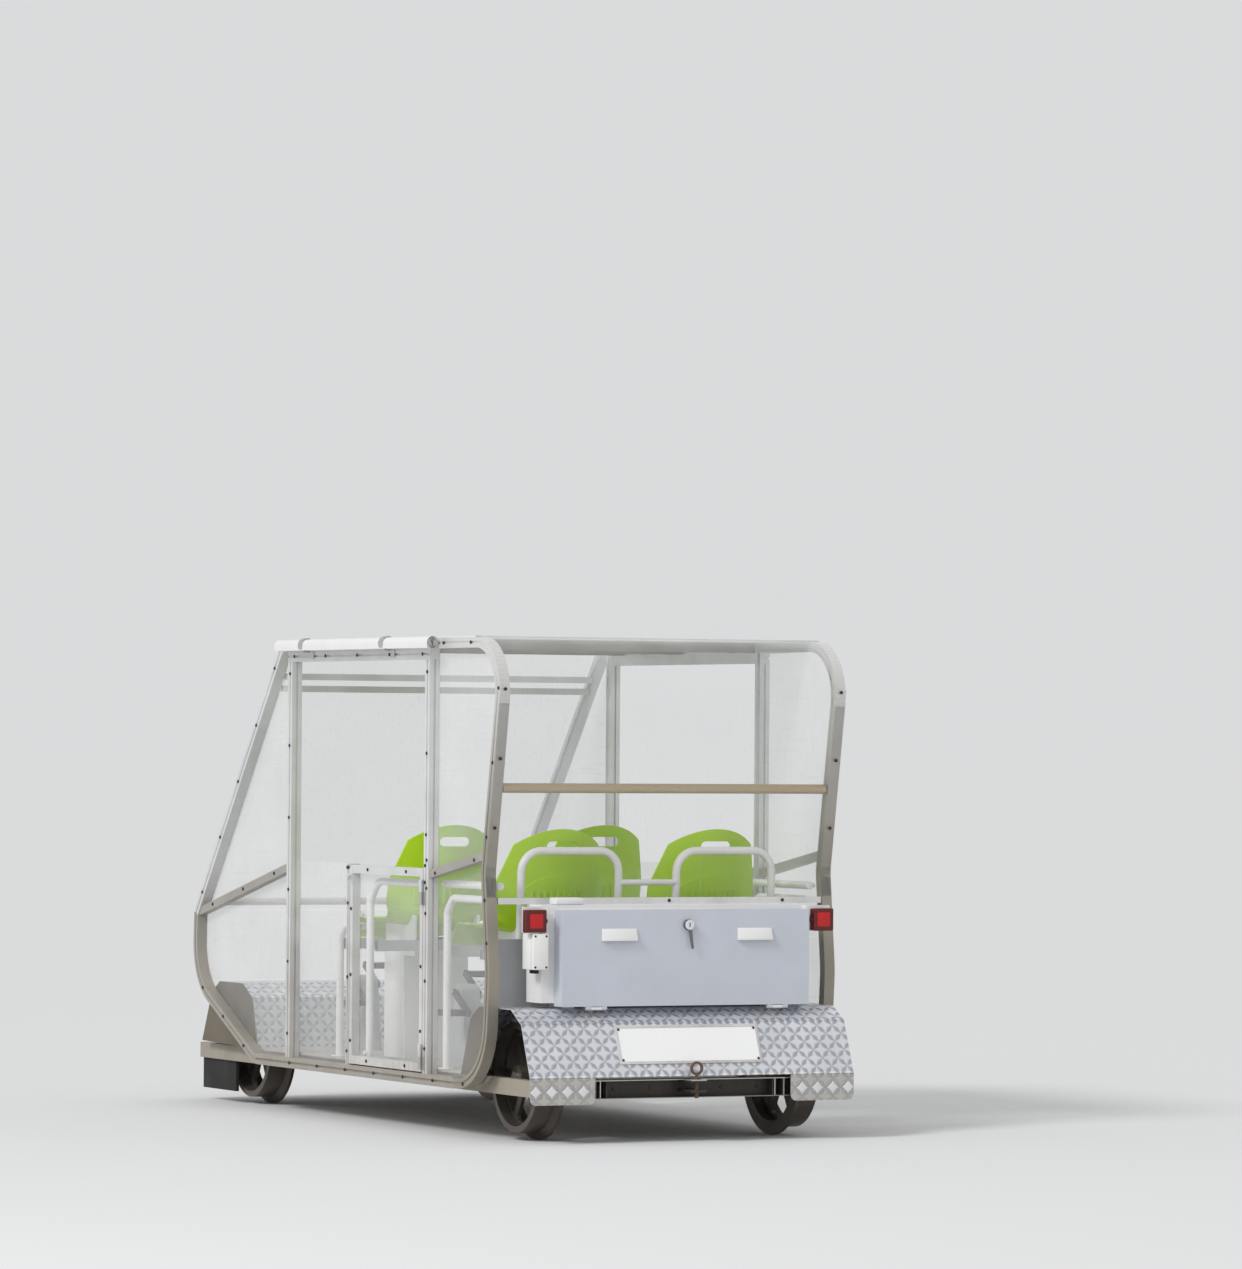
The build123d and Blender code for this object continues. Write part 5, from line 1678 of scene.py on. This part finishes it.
@dataclass
class Curtains:
    """The white side curtains, rolled up along the roof rails under their straps."""

    turns: int = 8
    pitch: float = 0.0022
    steps: int = 20
    flap: float = 0.020
    hem_in: float = 0.001
    cloth: float = 0.0005
    cuts: int = 27
    smooth: float = 60.0
    slack: float = 0.0011
    slack_radius: float = 0.024
    slack_reach: float = 0.25
    slack_most: float = 1.2
    waves: tuple[float, float] = (19.0, 7.0)
    tight_places: tuple[float, ...] = (0.3015, -0.4315)

    def build(self, wardrobe: Wardrobe) -> None:
        """Roll the left curtain and copy it to the right.

        Args:
            wardrobe: the finishes.
        """
        low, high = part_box("curtain_rolls")
        radius = (high.z - low.z) / 2 - self.cloth
        centre = (high.y - radius - self.cloth, (low.z + high.z) / 2)
        left, length = self._roll(low.x, high.x, centre, radius)
        right = left.copy()
        right.data = left.data.copy()
        bpy.context.collection.objects.link(right)
        for vertex in right.data.vertices:
            vertex.co.y = -vertex.co.y
        right.data.flip_normals()
        for piece, (hand, _) in zip((left, right), SIDES):
            piece.name = f"{hand}_curtain"
            wardrobe.dress(piece, "curtain", "car", self.smooth)
        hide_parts("curtain_rolls")

    def _roll(
            self, back: float, front: float, centre: tuple[float, float], radius: float,
    ) -> tuple[bpy.types.Object, float]:
        """Roll one curtain from its loose hem to its middle.

        Args:
            back: where the roll ends behind.
            front: where it ends in front.
            centre: the roll's middle line, as y and z.
            radius: the roll's outer radius.

        Returns:
            The sheet, and how long it is along the spiral.
        """
        points = self._spiral(back, centre, radius)
        width = front - back
        deselect()
        bpy.ops.mesh.primitive_plane_add(size=self.flap / 2, location=points[0])
        sheet = new_piece("curtain")
        bpy.ops.object.mode_set(mode="EDIT")
        bpy.ops.mesh.select_all(action="SELECT")
        bpy.ops.mesh.merge(type="CENTER")
        bpy.ops.mesh.extrude_region_move(TRANSFORM_OT_translate={"value": (width, 0.0, 0.0)})
        bpy.ops.mesh.select_all(action="SELECT")
        for start, end in zip(points, points[1:]):
            bpy.ops.mesh.extrude_region_move(TRANSFORM_OT_translate={"value": end - start})
        bpy.ops.object.mode_set(mode="OBJECT")
        in_front = [vertex.co.x > back + width / 2 for vertex in sheet.data.vertices]
        pick(sheet, "EDGE", lambda edge: in_front[edge.vertices[0]] != in_front[edge.vertices[1]])
        bpy.ops.mesh.subdivide(number_cuts=self.cuts)
        bpy.ops.mesh.select_all(action="SELECT")
        bpy.ops.mesh.normals_make_consistent(inside=False)
        leave()
        self._slacken(sheet, centre)
        take(sheet)
        wall = sheet.modifiers.new("wall", "SOLIDIFY")
        wall.thickness = self.cloth
        wall.offset = 0.0
        bpy.ops.object.modifier_apply(modifier=wall.name)
        length = sum((end - start).length for start, end in zip(points, points[1:]))
        return sheet, length

    def _spiral(self, x: float, centre: tuple[float, float], radius: float) -> list[Vector]:
        """Return the line that a curtain follows at one X, from its loose hem to the roll's middle.

        Args:
            x: where the line is along the car.
            centre: the roll's middle, as y and z.
            radius: the roll's outer radius.

        Returns:
            The points of the line.
        """
        points = [Vector((x, centre[0] + radius - self.hem_in, centre[1] - self.flap))]
        for step in range(self.turns * self.steps + 1):
            turn = step / self.steps
            reach = radius - self.pitch * turn
            angle = math.tau * turn
            y, z = centre[0] + reach * math.cos(angle), centre[1] + reach * math.sin(angle)
            points.append(Vector((x, y, z)))
        return points

    def _slacken(self, sheet: bpy.types.Object, centre: tuple[float, float]) -> None:
        """Let the roll sag a little where no strap holds it.

        Args:
            sheet: the rolled curtain.
            centre: the roll's middle line, as y and z.
        """
        fast, slow = self.waves
        for vertex in sheet.data.vertices:
            nearest = min(abs(vertex.co.x - place) for place in self.tight_places)
            loose = min(nearest / self.slack_reach, 1.0)
            wave = 0.5 + 0.5 * math.sin(vertex.co.x * fast) * math.cos(vertex.co.x * slow + 1.0)
            shrink = 1.0 - (self.slack / self.slack_radius) * (self.slack_most - loose * wave)
            vertex.co.y = centre[0] + (vertex.co.y - centre[0]) * shrink
            vertex.co.z = centre[1] + (vertex.co.z - centre[1]) * shrink


@dataclass
class Studio:
    """The pale floor, the sky and the lamps."""

    floor_size: float = 600.0
    floor_colour: Point = (0.745, 0.750, 0.755)
    backdrop: Point = (0.70, 0.71, 0.715)
    fill: float = 0.66
    key: Point = (-0.26, 0.76, 0.66)
    key_strength: float = 1.40
    key_softness: float = 14.0
    box_place: Point = (-7.0, 7.0, 5.0)
    box_aim: Point = (0.0, 0.0, 0.8)
    box_size: float = 5.0
    box_power: float = 100.0

    def build(self) -> None:
        """Make the floor, the world and the lamps."""
        self._floor()
        self._world()
        deselect()
        turn = (-Vector(self.key)).to_track_quat("-Z", "Y").to_euler()
        bpy.ops.object.light_add(type="SUN", location=self.key, rotation=turn)
        sun = bpy.context.active_object
        sun.name = "key_lamp"
        sun.data.energy = self.key_strength
        sun.data.angle = math.radians(self.key_softness)
        deselect()
        turn = (Vector(self.box_aim) - Vector(self.box_place)).to_track_quat("-Z", "Y").to_euler()
        bpy.ops.object.light_add(type="AREA", location=self.box_place, rotation=turn)
        soft = bpy.context.active_object
        soft.name = "soft_box"
        soft.data.energy = self.box_power
        soft.data.size = self.box_size

    def _floor(self) -> None:
        """Make the floor."""
        deselect()
        bpy.ops.mesh.primitive_plane_add(size=self.floor_size)
        floor = new_piece("studio_floor")
        material = bpy.data.materials.new("studio_floor")
        material.use_nodes = True
        shader = material.node_tree.nodes["Principled BSDF"]
        shader.inputs["Base Color"].default_value = (*self.floor_colour, 1.0)
        shader.inputs["Roughness"].default_value = 1.0
        shader.inputs["Specular IOR Level"].default_value = 0.0
        floor.data.materials.append(material)

    def _world(self) -> None:
        """Light the car from all round, and show a pale backdrop to the camera and in reflections."""
        world = bpy.data.worlds.new("studio")
        bpy.context.scene.world = world
        world.use_nodes = True
        world.node_tree.nodes.clear()
        graph = Graph(world.node_tree)
        path = graph.node("ShaderNodeLightPath").outputs
        seen = graph.math("MAXIMUM", path["Is Camera Ray"], path["Is Transmission Ray"])
        seen = graph.math("MAXIMUM", seen, path["Is Glossy Ray"])
        strength = graph.spread(seen, 0.0, 1.0, self.fill, 1.0)
        colour = graph.blend(seen, (1.0, 1.0, 1.0, 1.0), (*self.backdrop, 1.0))
        sky = graph.node("ShaderNodeBackground", {"Color": colour, "Strength": strength})
        graph.node("ShaderNodeOutputWorld", {"Surface": sky.outputs[0]})


@dataclass
class PhotoCamera:
    """The camera at the photograph's place, far off to the car's left and behind it."""

    place: Point = (-21.730, 10.169, 1.412)
    heading: float = -26.0274
    pitch: float = 0.9089
    roll: float = 0.4240
    focal_length: float = 183.67
    sensor: float = 36.0
    far_end: float = 1000.0

    def build(self) -> None:
        """Make the camera and use it."""
        deselect()
        bpy.ops.object.camera_add(location=self.place)
        camera = bpy.context.active_object
        camera.name = "photo_camera"
        camera.rotation_euler = self._turn().to_euler()
        camera.data.sensor_fit = "VERTICAL"
        camera.data.sensor_height = self.sensor
        camera.data.lens = self.focal_length
        camera.data.clip_end = self.far_end
        bpy.context.scene.camera = camera

    def _turn(self) -> Matrix:
        """Return how the camera is turned, from its heading, pitch and roll.

        Returns:
            The rotation, with the camera's right, its top and its back as columns.
        """
        heading, pitch, roll = (math.radians(angle) for angle in (self.heading, self.pitch, self.roll))
        level = math.cos(pitch)
        ahead = Vector((math.cos(heading) * level, math.sin(heading) * level, math.sin(pitch)))
        right = Vector((math.sin(heading), -math.cos(heading), 0.0))
        up = right.cross(ahead)
        across = right * math.cos(roll) + up * math.sin(roll)
        above = up * math.cos(roll) - right * math.sin(roll)
        return Matrix((across, above, -ahead)).transposed()


def main() -> None:
    """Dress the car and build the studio."""
    logging.basicConfig(level=logging.INFO, format="%(name)s: %(message)s")
    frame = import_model()
    deselect()
    PhotoCamera().build()
    wardrobe = Wardrobe(frame)
    wardrobe.dress_solids()
    for sub_assembly in (
            GuardTubes(), Screws(), PlateFrame(), Lips(), TailLamps(), JunctionBox(),
            CabinetFittings(), BumperRibs(), Curtains()):
        sub_assembly.build(wardrobe)
    Studio().build()
    bpy.context.scene.view_settings.view_transform = "Standard"


if __name__ == "__main__":
    main()
